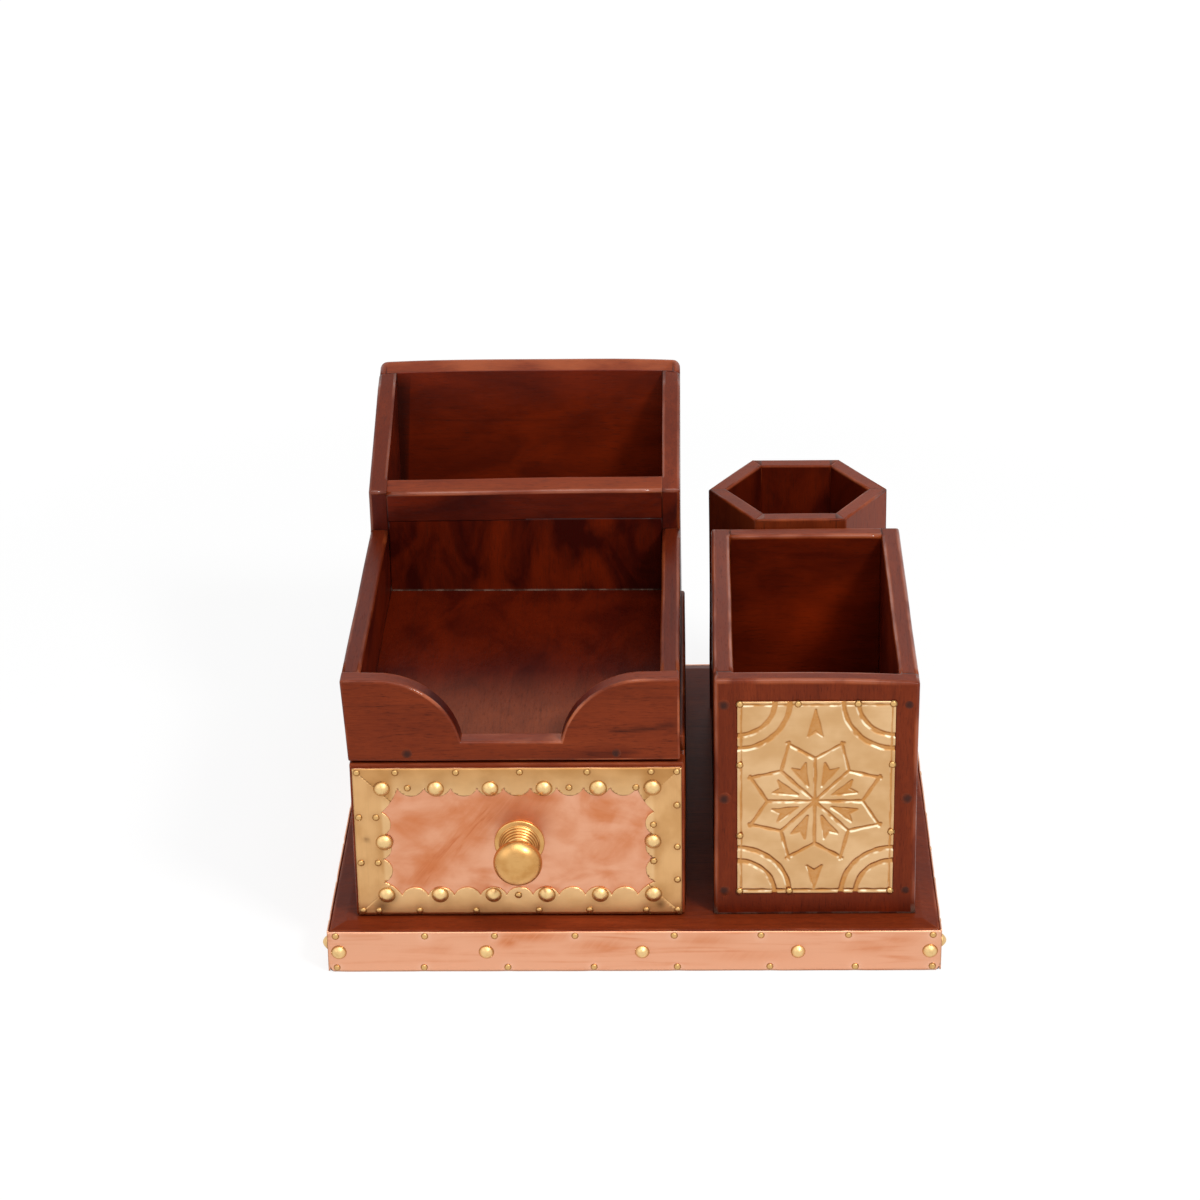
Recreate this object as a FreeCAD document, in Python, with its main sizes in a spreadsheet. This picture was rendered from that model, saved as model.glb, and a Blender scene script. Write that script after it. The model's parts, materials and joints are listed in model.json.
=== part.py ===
"""Wooden desk organizer with a drawer, a note tray, a letter rack, a pen box and a six-sided cup.

Millimetres. The origin is the middle of the base's underside, +Z is up and the drawer opens towards -Y.
"""
import FreeCAD
import Part
import Sketcher
import math
import os

Vector = FreeCAD.Vector

doc = FreeCAD.newDocument("desk_organizer")
dims = doc.addObject("Spreadsheet::Sheet", "dims")

# Driving sizes, piece by piece
sizes = {
    # base board, bevelled on top, and how far the boxes stand in from its edges
    "base_edge": 15.3,
    "bevel_width": 8.0,
    "bevel_rise": 1.2,
    "case_margin": 8.5,
    "pen_margin": 7.9,
    "block_gap": 9.5,
    "front_inset": 8.6,
    "rear_margin": 8.0,
    # copper bands nailed round the edge of the base
    "band_sheet": 0.5,
    "band_lift": 0.3,
    "band_top_gap": 0.1,
    # drawer case and the note tray on it
    "case_width": 109.9,
    "case_depth": 115.4,
    "case_height": 57.6,
    "case_board": 6.3,
    "floor_thick": 5.5,
    "tray_depth": 23.8,
    "tray_shift": -1.5,
    "tray_front_thick": 6.7,
    "upper_board": 6.3,
    "scoop_width": 32.6,
    "scoop_depth": 22.4,
    "scoop_radius": 27.5,
    # letter rack behind the tray, planed to one slope across its top
    "rack_depth": 63.5,
    "rack_front_height": 101.7,
    "rack_slope_rise": 0.409,
    "rack_panel": 6.3,
    "rail_height": 10.8,
    # pen box and its brass panel
    "pen_width": 66.4,
    "pen_depth": 122.7,
    "pen_height": 86.4,
    "pen_board": 6.5,
    "pen_inset": 8.8,
    "panel_width": 51.2,
    "panel_height": 70.6,
    "panel_foot": 8.0,
    "panel_sheet": 0.8,
    "panel_recess": 0.5,
    # six-sided cup
    "cup_gap": 3.2,
    "cup_flats": 55.7,
    "cup_wall": 5.76,
    "cup_height": 88.3,
    "cup_offset": -1.7,
    # drawer
    "drawer_play": 0.4,
    "drawer_lift": 0.4,
    "drawer_stop_gap": 0.3,
    "drawer_head_gap": 0.9,
    "drawer_back_gap": 1.0,
    "drawer_top_gap": 7.2,
    "drawer_reveal": 0.3,
    "drawer_board": 5.0,
    "drawer_bottom_thick": 3.0,
    "drawer_bottom_raise": 1.0,
    # copper sheet and scalloped brass border on the drawer front
    "plate_side_margin": 0.85,
    "plate_top_margin": 1.45,
    "plate_foot_margin": 0.3,
    "copper_sheet": 0.35,
    "border_sheet": 0.35,
    "cusp_inset_side": 9.0,
    "cusp_inset_row": 7.3,
    "lobe_pitch": 8.7,
    "lobe_rise": 2.9,
    "lobe_drop": 2.0,
    "corner_rise": 0.6,
    "corner_cut": 4.0,
    # turned brass knob and its screw
    "knob_raise": -0.3,
    "knob_side": 0.35,
    "flange_radius": 8.1,
    "flange_thick": 1.8,
    "ring_radius": 6.8,
    "ring_thick": 1.8,
    "neck_radius": 3.9,
    "neck_length": 9.4,
    "head_radius": 7.8,
    "head_half": 3.4,
    "screw_radius": 1.75,
    "screw_hold": 9.0,
    "screw_head_radius": 3.6,
    "screw_head_thick": 2.2,
    "screw_clearance": 0.35,
    # dome-headed nails, small pins and the brads that hold the boards
    "dome_radius": 2.6,
    "dome_rise": 1.9,
    "dome_shank_radius": 0.7,
    "dome_shank": 5.0,
    "dome_inset_side": 9.5,
    "dome_inset_row": 7.4,
    "band_dome_inset": 3.7,
    "band_dome_level": 7.6,
    "band_side_raise": 2.0,
    "pin_radius": 1.0,
    "pin_rise": 0.45,
    "pin_shank_radius": 0.4,
    "pin_shank": 4.0,
    "pin_inset": 1.5,
    "band_pin_inset": 2.8,
    "side_pin_inset": 9.0,
    "lobe_pin_inset": 7.2,
    "right_pin_inset": 9.3,
    "panel_pin_inset": 0.8,
    "brad_radius": 0.65,
    "brad_length": 16.0,
    "tray_brad_reach": 34.0,
    "pen_brad_inset": 9.0,
}
for row, (alias, number) in enumerate(sizes.items(), start=1):
    dims.set(f"A{row}", alias)
    dims.set(f"B{row}", str(number))
    dims.setAlias(f"B{row}", alias)
doc.recompute()

# Lines and levels that the pieces share, as expressions on the driving sizes
left_row_depth = "(dims.tray_front_thick + dims.case_depth + dims.rack_depth)"
right_row_depth = "(dims.pen_inset - dims.front_inset + dims.pen_depth + dims.cup_gap + dims.cup_flats)"
base_width = "(dims.case_margin + dims.case_width + dims.block_gap + dims.pen_width + dims.pen_margin)"
base_depth = f"(dims.front_inset + max({left_row_depth}; {right_row_depth}) + dims.rear_margin)"
platform = "(dims.base_edge + dims.bevel_rise)"
front_face = f"(dims.front_inset - {base_depth} / 2)"
case_front = f"({front_face} + dims.tray_front_thick)"
case_left = f"(dims.case_margin - {base_width} / 2)"
case_right = f"({case_left} + dims.case_width)"
tray_left = f"({case_left} + dims.tray_shift)"
tray_inner = "(dims.case_width - 2 * dims.upper_board)"
floor_under = f"({platform} + dims.case_height)"
floor_top = f"({floor_under} + dims.floor_thick)"
rack_front = f"({case_front} + dims.case_depth)"
rack_side_depth = "(dims.rack_depth - dims.rack_panel)"
pen_left = f"({case_right} + dims.block_gap)"
pen_front = f"(dims.pen_inset - {base_depth} / 2)"
pen_inner = "(dims.pen_width - 2 * dims.pen_board)"
pen_middle = f"({pen_left} + dims.pen_width / 2)"
drawer_x = f"({case_left} + dims.drawer_reveal)"
drawer_foot = f"({platform} + dims.drawer_lift)"
drawer_front_width = "(dims.case_width - 2 * dims.drawer_reveal)"
drawer_front_height = "(dims.case_height - dims.drawer_lift - dims.drawer_head_gap)"
drawer_front_thick = "(dims.tray_front_thick - dims.drawer_stop_gap)"
drawer_box_front = f"({front_face} + {drawer_front_thick})"
drawer_box_left = f"({case_left} + dims.case_board + dims.drawer_play)"
drawer_box_width = "(dims.case_width - 2 * dims.case_board - 2 * dims.drawer_play)"
drawer_box_depth = "(dims.case_depth + dims.drawer_stop_gap - dims.drawer_back_gap)"
drawer_box_height = "(dims.case_height - dims.drawer_lift - dims.drawer_top_gap)"
plate_x = f"({drawer_x} + dims.plate_side_margin)"
plate_z = f"({drawer_foot} + dims.plate_foot_margin)"
plate_width = f"({drawer_front_width} - 2 * dims.plate_side_margin)"
plate_height = f"({drawer_front_height} - dims.plate_foot_margin - dims.plate_top_margin)"
copper_face = f"({front_face} - dims.copper_sheet)"
border_face = f"({copper_face} - dims.border_sheet)"
knob_x = f"({plate_x} + {plate_width} / 2 + dims.knob_side)"
knob_z = f"({plate_z} + {plate_height} / 2 + dims.knob_raise)"

subparts = []


def value(text):
    """A shared line or size as a plain number of millimetres."""
    return float(dims.evalExpression(text))


def bind(feature, **expressions):
    """Binds properties of a feature to the sheet; x, y and z are its place."""
    for name, text in expressions.items():
        path = f"Placement.Base.{name}" if name in ("x", "y", "z") else name
        feature.setExpression(path, text)
    return feature


def keep(feature, label):
    """Names a finished piece and puts it on the list of what is written out."""
    feature.Label = label
    subparts.append(feature)
    return feature


def block(name, x, y, z, length, width, height):
    """A rectangular block with its lowest corner at x, y, z."""
    box = doc.addObject("Part::Box", name)
    return bind(box, x=x, y=y, z=z, Length=length, Width=width, Height=height)


def board(label, *placing):
    """A plain board cut square, kept as a piece of its own."""
    return keep(block(label, *placing), label)


def bar(name, x, y, z, radius, height):
    """A round bar that runs from x, y, z towards the front of the organizer."""
    cylinder = doc.addObject("Part::Cylinder", name)
    cylinder.Placement.Rotation = FreeCAD.Rotation(Vector(1, 0, 0), 90)
    return bind(cylinder, x=x, y=y, z=z, Radius=radius, Height=height)


def taper(name, x, y, z, first, last, height):
    """A round bar like the one above whose radius changes along its length."""
    cone = doc.addObject("Part::Cone", name)
    cone.Placement.Rotation = FreeCAD.Rotation(Vector(1, 0, 0), 90)
    return bind(cone, x=x, y=y, z=z, Radius1=first, Radius2=last, Height=height)


def cut(name, base, tool):
    """The first shape with the second one taken out of it."""
    result = doc.addObject("Part::Cut", name)
    result.Base = base
    result.Tool = tool
    return result


def fuse(name, *shapes):
    """Several shapes joined into one solid."""
    result = doc.addObject("Part::MultiFuse", name)
    result.Shapes = list(shapes)
    result.Refine = True
    return result


def origin_plane(body, role):
    """One of a body's own three planes."""
    return next(plane for plane in body.Origin.OriginFeatures if plane.Role == role)


def outline(body, name, role, corners, level=None):
    """A closed sketch of straight lines whose corners are bound to the sheet."""
    sketch = body.newObject("Sketcher::SketchObject", name)
    sketch.AttachmentSupport = [(origin_plane(body, role), "")]
    sketch.MapMode = "FlatFace"
    if level:
        sketch.setExpression("AttachmentOffset.Base.z", level)
    points = [Vector(value(across), value(up), 0) for across, up in corners]
    count = len(points)
    for index, point in enumerate(points):
        sketch.addGeometry(Part.LineSegment(point, points[(index + 1) % count]), False)
    for index in range(count):
        sketch.addConstraint(Sketcher.Constraint("Coincident", index, 2, (index + 1) % count, 1))
    for index, (across, up) in enumerate(corners):
        for kind, text in (("DistanceX", across), ("DistanceY", up)):
            rule = Sketcher.Constraint(kind, -1, 1, index, 1, value(text))
            sketch.setExpression(f"Constraints[{sketch.addConstraint(rule)}]", text)
    return sketch


def padded(label, role, corners, thick, x, y, z):
    """A board sawn to an outline: the sketch of its face, padded to its thickness."""
    body = doc.addObject("PartDesign::Body", label)
    pad = body.newObject("PartDesign::Pad", f"{label}_pad")
    pad.Profile = outline(body, f"{label}_outline", role, corners)
    pad.setExpression("Length", thick)
    body.Tip = pad
    return keep(bind(body, x=x, y=y, z=z), label)


def group(label, solids):
    """Like fasteners as one piece made of separate solids."""
    feature = doc.addObject("Part::Feature", label)
    feature.Shape = Part.makeCompound(solids)
    return keep(feature, label)


def nail(radius, rise, shank_radius, shank):
    """A nail with a domed head on z = 0 and its shank below."""
    ball = (radius ** 2 + rise ** 2) / (2 * rise)
    sink = ball - rise
    latitude = math.degrees(math.asin(sink / ball))
    head = Part.makeSphere(ball, Vector(0, 0, -sink), Vector(0, 0, 1), latitude, 90, 360)
    stem = Part.makeCylinder(shank_radius, shank, Vector(0, 0, -shank))
    return head.fuse(stem).removeSplitter().Solids[0]


def driven(fastener, place, outward):
    """A copy of a nail at a place, with its head turned outward."""
    copy = fastener.copy()
    copy.Placement = FreeCAD.Placement(place, FreeCAD.Rotation(Vector(0, 0, 1), outward))
    return copy


def spread(first, last, count):
    """Evenly spaced values from the first to the last."""
    return [first + (last - first) * step / (count - 1) for step in range(count)]


# Base board: one thick board with a shallow bevel all round its top
base = doc.addObject("PartDesign::Body", "base_board")


def base_rectangle(name, inset, level):
    """A rectangle as large as the base, less an inset on every side."""
    half_x = f"({base_width} / 2 - {inset})"
    half_y = f"({base_depth} / 2 - {inset})"
    near = [(f"-{half_x}", f"-{half_y}"), (half_x, f"-{half_y}")]
    far = [(half_x, half_y), (f"-{half_x}", half_y)]
    return outline(base, name, "XY_Plane", near + far, level)


base_pad = base.newObject("PartDesign::Pad", "base_pad")
base_pad.Profile = base_rectangle("base_outline", "0", None)
base_pad.setExpression("Length", "dims.base_edge")
bevel_foot = base_rectangle("bevel_foot", "0", "dims.base_edge")
bevel_head = base_rectangle("bevel_head", "dims.bevel_width", platform)
doc.recompute()
bevel = base.newObject("PartDesign::AdditiveLoft", "bevel")
bevel.Profile = bevel_foot
bevel.Sections = [bevel_head]
bevel.Ruled = True
base.Tip = bevel
keep(base, "base_board")

# Copper bands: the front and back ones run past the ends of the side ones
band_height = "(dims.base_edge - dims.band_lift - dims.band_top_gap)"
long_band = f"({base_width} + 2 * dims.band_sheet)"
band_left = f"(-{long_band} / 2)"
board("base_band_front", band_left, f"-{base_depth} / 2 - dims.band_sheet", "dims.band_lift",
      long_band, "dims.band_sheet", band_height)
board("base_band_back", band_left, f"{base_depth} / 2", "dims.band_lift",
      long_band, "dims.band_sheet", band_height)
board("base_band_left", band_left, f"-{base_depth} / 2", "dims.band_lift",
      "dims.band_sheet", base_depth, band_height)
board("base_band_right", f"{base_width} / 2", f"-{base_depth} / 2", "dims.band_lift",
      "dims.band_sheet", base_depth, band_height)

# Drawer case: two sides on the base, under the board that is also the tray's floor
board("case_side_left", case_left, case_front, platform,
      "dims.case_board", "dims.case_depth", "dims.case_height")
board("case_side_right", f"{case_right} - dims.case_board", case_front, platform,
      "dims.case_board", "dims.case_depth", "dims.case_height")
board("tray_floor", case_left, case_front, floor_under,
      "dims.case_width", "dims.case_depth", "dims.floor_thick")

# Note tray: two low sides, and a front board with a scooped finger opening
board("tray_side_left", tray_left, case_front, floor_top,
      "dims.upper_board", "dims.case_depth", "dims.tray_depth")
board("tray_side_right", f"{tray_left} + dims.case_width - dims.upper_board", case_front, floor_top,
      "dims.upper_board", "dims.case_depth", "dims.tray_depth")
tray_front_height = "(dims.floor_thick + dims.tray_depth)"
tray_top = f"({floor_under} + {tray_front_height})"
tray_middle = f"({tray_left} + dims.case_width / 2)"
scoop_run = "sqrt(2 * dims.scoop_radius * dims.scoop_depth - dims.scoop_depth ^ 2)"
scoop_half = f"(dims.scoop_width / 2 + {scoop_run})"
front_plank = block("tray_front_plank", tray_left, front_face, floor_under,
                    "dims.case_width", "dims.tray_front_thick", tray_front_height)
scoop_foot = f"{tray_top} - dims.scoop_depth"
scoop_block = block("scoop_block", f"{tray_middle} - {scoop_half}", front_face, scoop_foot,
                    f"2 * {scoop_half}", "dims.tray_front_thick", "dims.scoop_depth")
horns = [
    bar(f"scoop_horn_{name}", f"{tray_middle} {sign} {scoop_half}", case_front,
        f"{tray_top} - dims.scoop_radius", "dims.scoop_radius", "dims.tray_front_thick")
    for name, sign in (("left", "-"), ("right", "+"))
]
scoop = cut("scoop", scoop_block, fuse("scoop_horns", *horns))
keep(cut("tray_front", front_plank, scoop), "tray_front")

# Letter rack: sides, divider with its top rail, and back, planed to one slope
rack_rear_top = f"(dims.rack_front_height + dims.rack_slope_rise * {rack_side_depth})"
side_corners = [
    ("0", "0"),
    (rack_side_depth, "0"),
    (rack_side_depth, rack_rear_top),
    ("0", "dims.rack_front_height"),
]
padded("rack_side_left", "YZ_Plane", side_corners, "dims.upper_board", tray_left, rack_front, platform)
padded("rack_side_right", "YZ_Plane", side_corners, "dims.upper_board",
       f"{tray_left} + dims.case_width - dims.upper_board", rack_front, platform)


def sloped_top(foot_height):
    """The end outline of a cross board whose top follows the rack's slope."""
    rear_height = f"({foot_height} + dims.rack_slope_rise * dims.rack_panel)"
    return [("0", "0"), ("dims.rack_panel", "0"), ("dims.rack_panel", rear_height), ("0", foot_height)]


divider_height = "(dims.rack_front_height - dims.rail_height)"
divider_left = f"{tray_left} + dims.upper_board"
board("rack_divider", divider_left, rack_front, platform, tray_inner, "dims.rack_panel", divider_height)
padded("rack_divider_rail", "YZ_Plane", sloped_top("dims.rail_height"), tray_inner,
       divider_left, rack_front, f"{platform} + {divider_height}")
padded("rack_back", "YZ_Plane", sloped_top(rack_rear_top), "dims.case_width",
       tray_left, f"{rack_front} + {rack_side_depth}", platform)

# Pen box: a full-width front board, two sides behind it and a back between the sides
pen_side_depth = "(dims.pen_depth - dims.pen_board)"
pen_plank = block("pen_box_plank", pen_left, pen_front, platform,
                  "dims.pen_width", "dims.pen_board", "dims.pen_height")
panel_left = f"({pen_middle} - dims.panel_width / 2)"
panel_low = f"({platform} + dims.panel_foot)"
panel_bed = block("panel_bed", panel_left, pen_front, panel_low,
                  "dims.panel_width", "dims.panel_recess", "dims.panel_height")
keep(cut("pen_box_front", pen_plank, panel_bed), "pen_box_front")
pen_side_front = f"{pen_front} + dims.pen_board"
board("pen_box_side_left", pen_left, pen_side_front, platform,
      "dims.pen_board", pen_side_depth, "dims.pen_height")
board("pen_box_side_right", f"{pen_left} + dims.pen_width - dims.pen_board", pen_side_front, platform,
      "dims.pen_board", pen_side_depth, "dims.pen_height")
board("pen_box_back", f"{pen_left} + dims.pen_board", f"{pen_front} + {pen_side_depth}", platform,
      pen_inner, "dims.pen_board", "dims.pen_height")
panel_face = f"{pen_front} + dims.panel_recess - dims.panel_sheet"
board("pen_box_panel", panel_left, panel_face, panel_low,
      "dims.panel_width", "dims.panel_sheet", "dims.panel_height")

# Six-sided cup: six mitred staves glued edge to edge
outer_reach = "(dims.cup_flats / 2)"
inner_reach = "(dims.cup_flats / 2 - dims.cup_wall)"
half_side = "tan(30 deg)"
stave_corners = [
    (f"-{inner_reach} * {half_side}", inner_reach),
    (f"{inner_reach} * {half_side}", inner_reach),
    (f"{outer_reach} * {half_side}", outer_reach),
    (f"-{outer_reach} * {half_side}", outer_reach),
]
cup_x = f"{pen_middle} + dims.cup_offset"
cup_y = f"{pen_front} + dims.pen_depth + dims.cup_gap + dims.cup_flats / 2"
stave_names = ["back", "back_left", "front_left", "front", "front_right", "back_right"]
stave_turn = 360 / len(stave_names)
for index, stave_name in enumerate(stave_names):
    stave = padded(f"cup_wall_{stave_name}", "XY_Plane", stave_corners, "dims.cup_height",
                   cup_x, cup_y, platform)
    stave.Placement.Rotation = FreeCAD.Rotation(Vector(0, 0, 1), stave_turn * index)

# Drawer: an overlay front, two sides, a back and a thin bottom
knob_hole_radius = "(dims.screw_radius + dims.screw_clearance)"
front_blank = block("drawer_front_blank", drawer_x, front_face, drawer_foot,
                    drawer_front_width, drawer_front_thick, drawer_front_height)
front_hole = bar("drawer_front_hole", knob_x, drawer_box_front, knob_z,
                 knob_hole_radius, drawer_front_thick)
keep(cut("drawer_front", front_blank, front_hole), "drawer_front")
board("drawer_side_left", drawer_box_left, drawer_box_front, drawer_foot,
      "dims.drawer_board", drawer_box_depth, drawer_box_height)
drawer_right_side = f"{drawer_box_left} + {drawer_box_width} - dims.drawer_board"
board("drawer_side_right", drawer_right_side, drawer_box_front, drawer_foot,
      "dims.drawer_board", drawer_box_depth, drawer_box_height)
drawer_inner_left = f"{drawer_box_left} + dims.drawer_board"
drawer_inner_width = f"{drawer_box_width} - 2 * dims.drawer_board"
drawer_rear_board = f"{drawer_box_front} + {drawer_box_depth} - dims.drawer_board"
board("drawer_back", drawer_inner_left, drawer_rear_board, drawer_foot,
      drawer_inner_width, "dims.drawer_board", drawer_box_height)
board("drawer_bottom", drawer_inner_left, drawer_box_front, f"{drawer_foot} + dims.drawer_bottom_raise",
      drawer_inner_width, f"{drawer_box_depth} - dims.drawer_board", "dims.drawer_bottom_thick")

# Copper sheet that covers the drawer front
sheet_blank = block("copper_blank", plate_x, copper_face, plate_z,
                    plate_width, "dims.copper_sheet", plate_height)
sheet_hole = bar("copper_hole", knob_x, front_face, knob_z, knob_hole_radius, "dims.copper_sheet")
keep(cut("drawer_copper_sheet", sheet_blank, sheet_hole), "drawer_copper_sheet")

# Turned brass knob: flange, ring, tapered neck and a flattened ball
ring_start = f"({copper_face} - dims.flange_thick)"
neck_start = f"({ring_start} - dims.ring_thick)"
neck_end = f"({neck_start} - dims.neck_length)"
head = doc.addObject("Part::Ellipsoid", "knob_head")
head.Placement.Rotation = FreeCAD.Rotation(Vector(1, 0, 0), 90)
bind(head, x=knob_x, y=f"{neck_end} - dims.head_half / 2", z=knob_z,
     Radius1="dims.head_half", Radius2="dims.head_radius", Radius3="dims.head_radius")
knob_body = fuse(
    "knob_body",
    bar("knob_flange", knob_x, copper_face, knob_z, "dims.flange_radius", "dims.flange_thick"),
    bar("knob_ring", knob_x, ring_start, knob_z, "dims.ring_radius", "dims.ring_thick"),
    taper("knob_neck", knob_x, neck_start, knob_z,
          "dims.ring_radius", "dims.neck_radius", "dims.neck_length / 2"),
    bar("knob_throat", knob_x, f"{neck_start} - dims.neck_length / 2", knob_z,
        "dims.neck_radius", "dims.neck_length / 2"),
    head,
)
knob_bore = bar("knob_bore", knob_x, copper_face, knob_z, "dims.screw_radius", "dims.screw_hold")
keep(cut("drawer_knob", knob_body, knob_bore), "drawer_knob")

# Screw that pulls the knob against the drawer front from inside
screw_shank = bar("screw_shank", knob_x, drawer_box_front, knob_z, "dims.screw_radius",
                  f"{drawer_front_thick} + dims.copper_sheet + dims.screw_hold")
screw_head = bar("screw_head", knob_x, f"{drawer_box_front} + dims.screw_head_thick", knob_z,
                 "dims.screw_head_radius", "dims.screw_head_thick")
keep(fuse("knob_screw", screw_shank, screw_head), "knob_screw")
doc.recompute()

# Scalloped brass border: a frame cut out in lobes and mitred into four strips
wide = value(plate_width)
high = value(plate_height)
sheet = Vector(0, -value("dims.border_sheet"), 0)


def flat_solid(edges):
    """A thin solid from the edges of its outline on the plate."""
    return Part.Face(Part.Wire(edges)).extrude(sheet)


def straight_edges(points):
    """Straight edges from point to point and back to the first."""
    return Part.makePolygon(points + points[:1]).Edges


def cusp_run(span):
    """Cusp places along one side: whole lobes of one pitch, in the middle of the span."""
    pitch = value("dims.lobe_pitch")
    lobes = max(1, int((span - 2 * value("dims.corner_cut")) / pitch))
    first = (span - lobes * pitch) / 2
    return [first + pitch * index for index in range(lobes + 1)]


inset_x = value("dims.cusp_inset_side")
inset_z = value("dims.cusp_inset_row")
along = [inset_x + place for place in cusp_run(wide - 2 * inset_x)]
upward = [inset_z + place - value("dims.lobe_drop") for place in cusp_run(high - 2 * inset_z)]
cusp_rows = [
    [Vector(place, 0, high - inset_z) for place in along],
    [Vector(wide - inset_x, 0, place) for place in reversed(upward)],
    [Vector(place, 0, inset_z) for place in reversed(along)],
    [Vector(inset_x, 0, place) for place in upward],
]


def lobe(start, end, rise):
    """The arc of one lobe, bulging towards the middle of the plate."""
    chord = end - start
    inward = Vector(chord.z, 0, -chord.x).normalize()
    return Part.Arc(start, (start + end) * 0.5 + inward * rise, end).toShape()


lobes = []
for row, next_row in zip(cusp_rows, cusp_rows[1:] + cusp_rows[:1]):
    lobes += [lobe(start, end, value("dims.lobe_rise")) for start, end in zip(row, row[1:])]
    lobes.append(lobe(row[-1], next_row[0], value("dims.corner_rise")))
window = flat_solid(lobes)
corners = [Vector(0, 0, 0), Vector(wide, 0, 0), Vector(wide, 0, high), Vector(0, 0, high)]
frame = flat_solid(straight_edges(corners)).cut(window)
mitre_left = Vector(high / 2, 0, high / 2)
mitre_right = Vector(wide - high / 2, 0, high / 2)
strip_fields = {
    "bottom": [corners[0], corners[1], mitre_right, mitre_left],
    "right": [corners[1], corners[2], mitre_right],
    "top": [corners[2], corners[3], mitre_left, mitre_right],
    "left": [corners[3], corners[0], mitre_left],
}
plate_corner = Vector(value(plate_x), value(copper_face), value(plate_z))
for side, field in strip_fields.items():
    strip = doc.addObject("Part::Feature", f"drawer_border_{side}")
    strip.Shape = frame.common(flat_solid(straight_edges(field))).Solids[0]
    strip.Placement = FreeCAD.Placement(plate_corner, FreeCAD.Rotation())
    keep(strip, f"drawer_border_{side}")

# Dome nails and small pins on the drawer's brass border
dome = nail(value("dims.dome_radius"), value("dims.dome_rise"),
            value("dims.dome_shank_radius"), value("dims.dome_shank"))
pin = nail(value("dims.pin_radius"), value("dims.pin_rise"),
           value("dims.pin_shank_radius"), value("dims.pin_shank"))
front = Vector(0, -1, 0)
plate_front = Vector(value(plate_x), value(border_face), value(plate_z))
row_count = 6
side_x = value("dims.dome_inset_side")
row_z = value("dims.dome_inset_row")
dome_places = [(x, z) for z in (row_z, high - row_z) for x in spread(side_x, wide - side_x, row_count)]
dome_places += [(x, high / 2) for x in (side_x, wide - side_x)]
group("drawer_dome_nails", [driven(dome, plate_front + Vector(x, 0, z), front) for x, z in dome_places])

# Pins stand by eye along the outer edges and on some lobes: each has a share of its row and an inset
edge = value("dims.pin_inset")
inner_edge = value("dims.lobe_pin_inset")
top_row = [(share, edge) for share in (0.0, 0.12, 0.31, 0.51, 0.72, 0.92, 1.0)]
top_row += [(share, inner_edge) for share in (0.157, 0.663, 0.872)]
foot_row = [(share, edge) for share in (0.0, 0.05, 0.18, 0.36, 0.56, 0.72, 0.9, 1.0)]
foot_row += [(0.495, inner_edge)]
left_row = [(share, inset) for share in (0.35, 0.68) for inset in (edge, inner_edge)]
right_row = [(share, edge) for share in (0.22, 0.46, 0.76)]
right_row += [(share, value("dims.right_pin_inset")) for share in (0.357, 0.621)]
run_x = wide - 2 * edge
run_z = high - 2 * edge
pin_places = [(edge + run_x * share, high - inset) for share, inset in top_row]
pin_places += [(edge + run_x * share, inset) for share, inset in foot_row]
pin_places += [(inset, edge + run_z * share) for share, inset in left_row]
pin_places += [(wide - inset, edge + run_z * share) for share, inset in right_row]
group("drawer_pins", [driven(pin, plate_front + Vector(x, 0, z), front) for x, z in pin_places])

# Dome nails and pins along the four copper bands
half_x = value(base_width) / 2 + value("dims.band_sheet")
half_y = value(base_depth) / 2 + value("dims.band_sheet")
band_low = value("dims.band_lift")
band_high = band_low + value(band_height)
row_dome_shares = (0.0, 0.25, 0.514, 0.778, 1.0)
side_dome_shares = (0.0, 1.0)
band_top_shares = (0.0, 0.15, 0.267, 0.402, 0.568, 0.713, 0.859, 1.0)
band_foot_shares = (0.0, 0.147, 0.288, 0.433, 0.573, 0.728, 0.871, 1.0)
band_domes = []
band_pins = []
band_runs = [
    (Vector(0, -half_y, 0), Vector(1, 0, 0), Vector(0, -1, 0), half_x, 0),
    (Vector(half_x, 0, 0), Vector(0, 1, 0), Vector(1, 0, 0), half_y, 1),
    (Vector(0, half_y, 0), Vector(-1, 0, 0), Vector(0, 1, 0), half_x, 0),
    (Vector(-half_x, 0, 0), Vector(0, -1, 0), Vector(-1, 0, 0), half_y, 1),
]
for middle, way, outward, half_run, is_side in band_runs:
    dome_reach = half_run - value("dims.band_dome_inset")
    level = value("dims.band_dome_level") + is_side * value("dims.band_side_raise")
    for share in side_dome_shares if is_side else row_dome_shares:
        place = middle + way * (dome_reach * (2 * share - 1)) + Vector(0, 0, level)
        band_domes.append(driven(dome, place, outward))
    pin_reach = half_run - value("dims.side_pin_inset" if is_side else "dims.band_pin_inset")
    for level, shares in ((band_low + edge, band_foot_shares), (band_high - edge, band_top_shares)):
        for share in shares:
            place = middle + way * (pin_reach * (2 * share - 1)) + Vector(0, 0, level)
            band_pins.append(driven(pin, place, outward))
group("base_dome_nails", band_domes)
group("base_pins", band_pins)

# Pins round the edge of the pen box's brass panel
panel_corner = Vector(value(panel_left), value(panel_face), value(panel_low))
rim = value("dims.panel_pin_inset")
panel_x = value("dims.panel_width") - 2 * rim
panel_z = value("dims.panel_height") - 2 * rim
panel_shares = [(0, 0), (1, 0), (0, 1), (1, 1)]
panel_shares += [(0, 0.3), (0, 0.68), (1, 0.32), (1, 0.68), (0.38, 1), (0.77, 1), (0.33, 0)]
group("pen_box_panel_pins", [
    driven(pin, panel_corner + Vector(rim + panel_x * across, 0, rim + panel_z * up), front)
    for across, up in panel_shares
])

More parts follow.
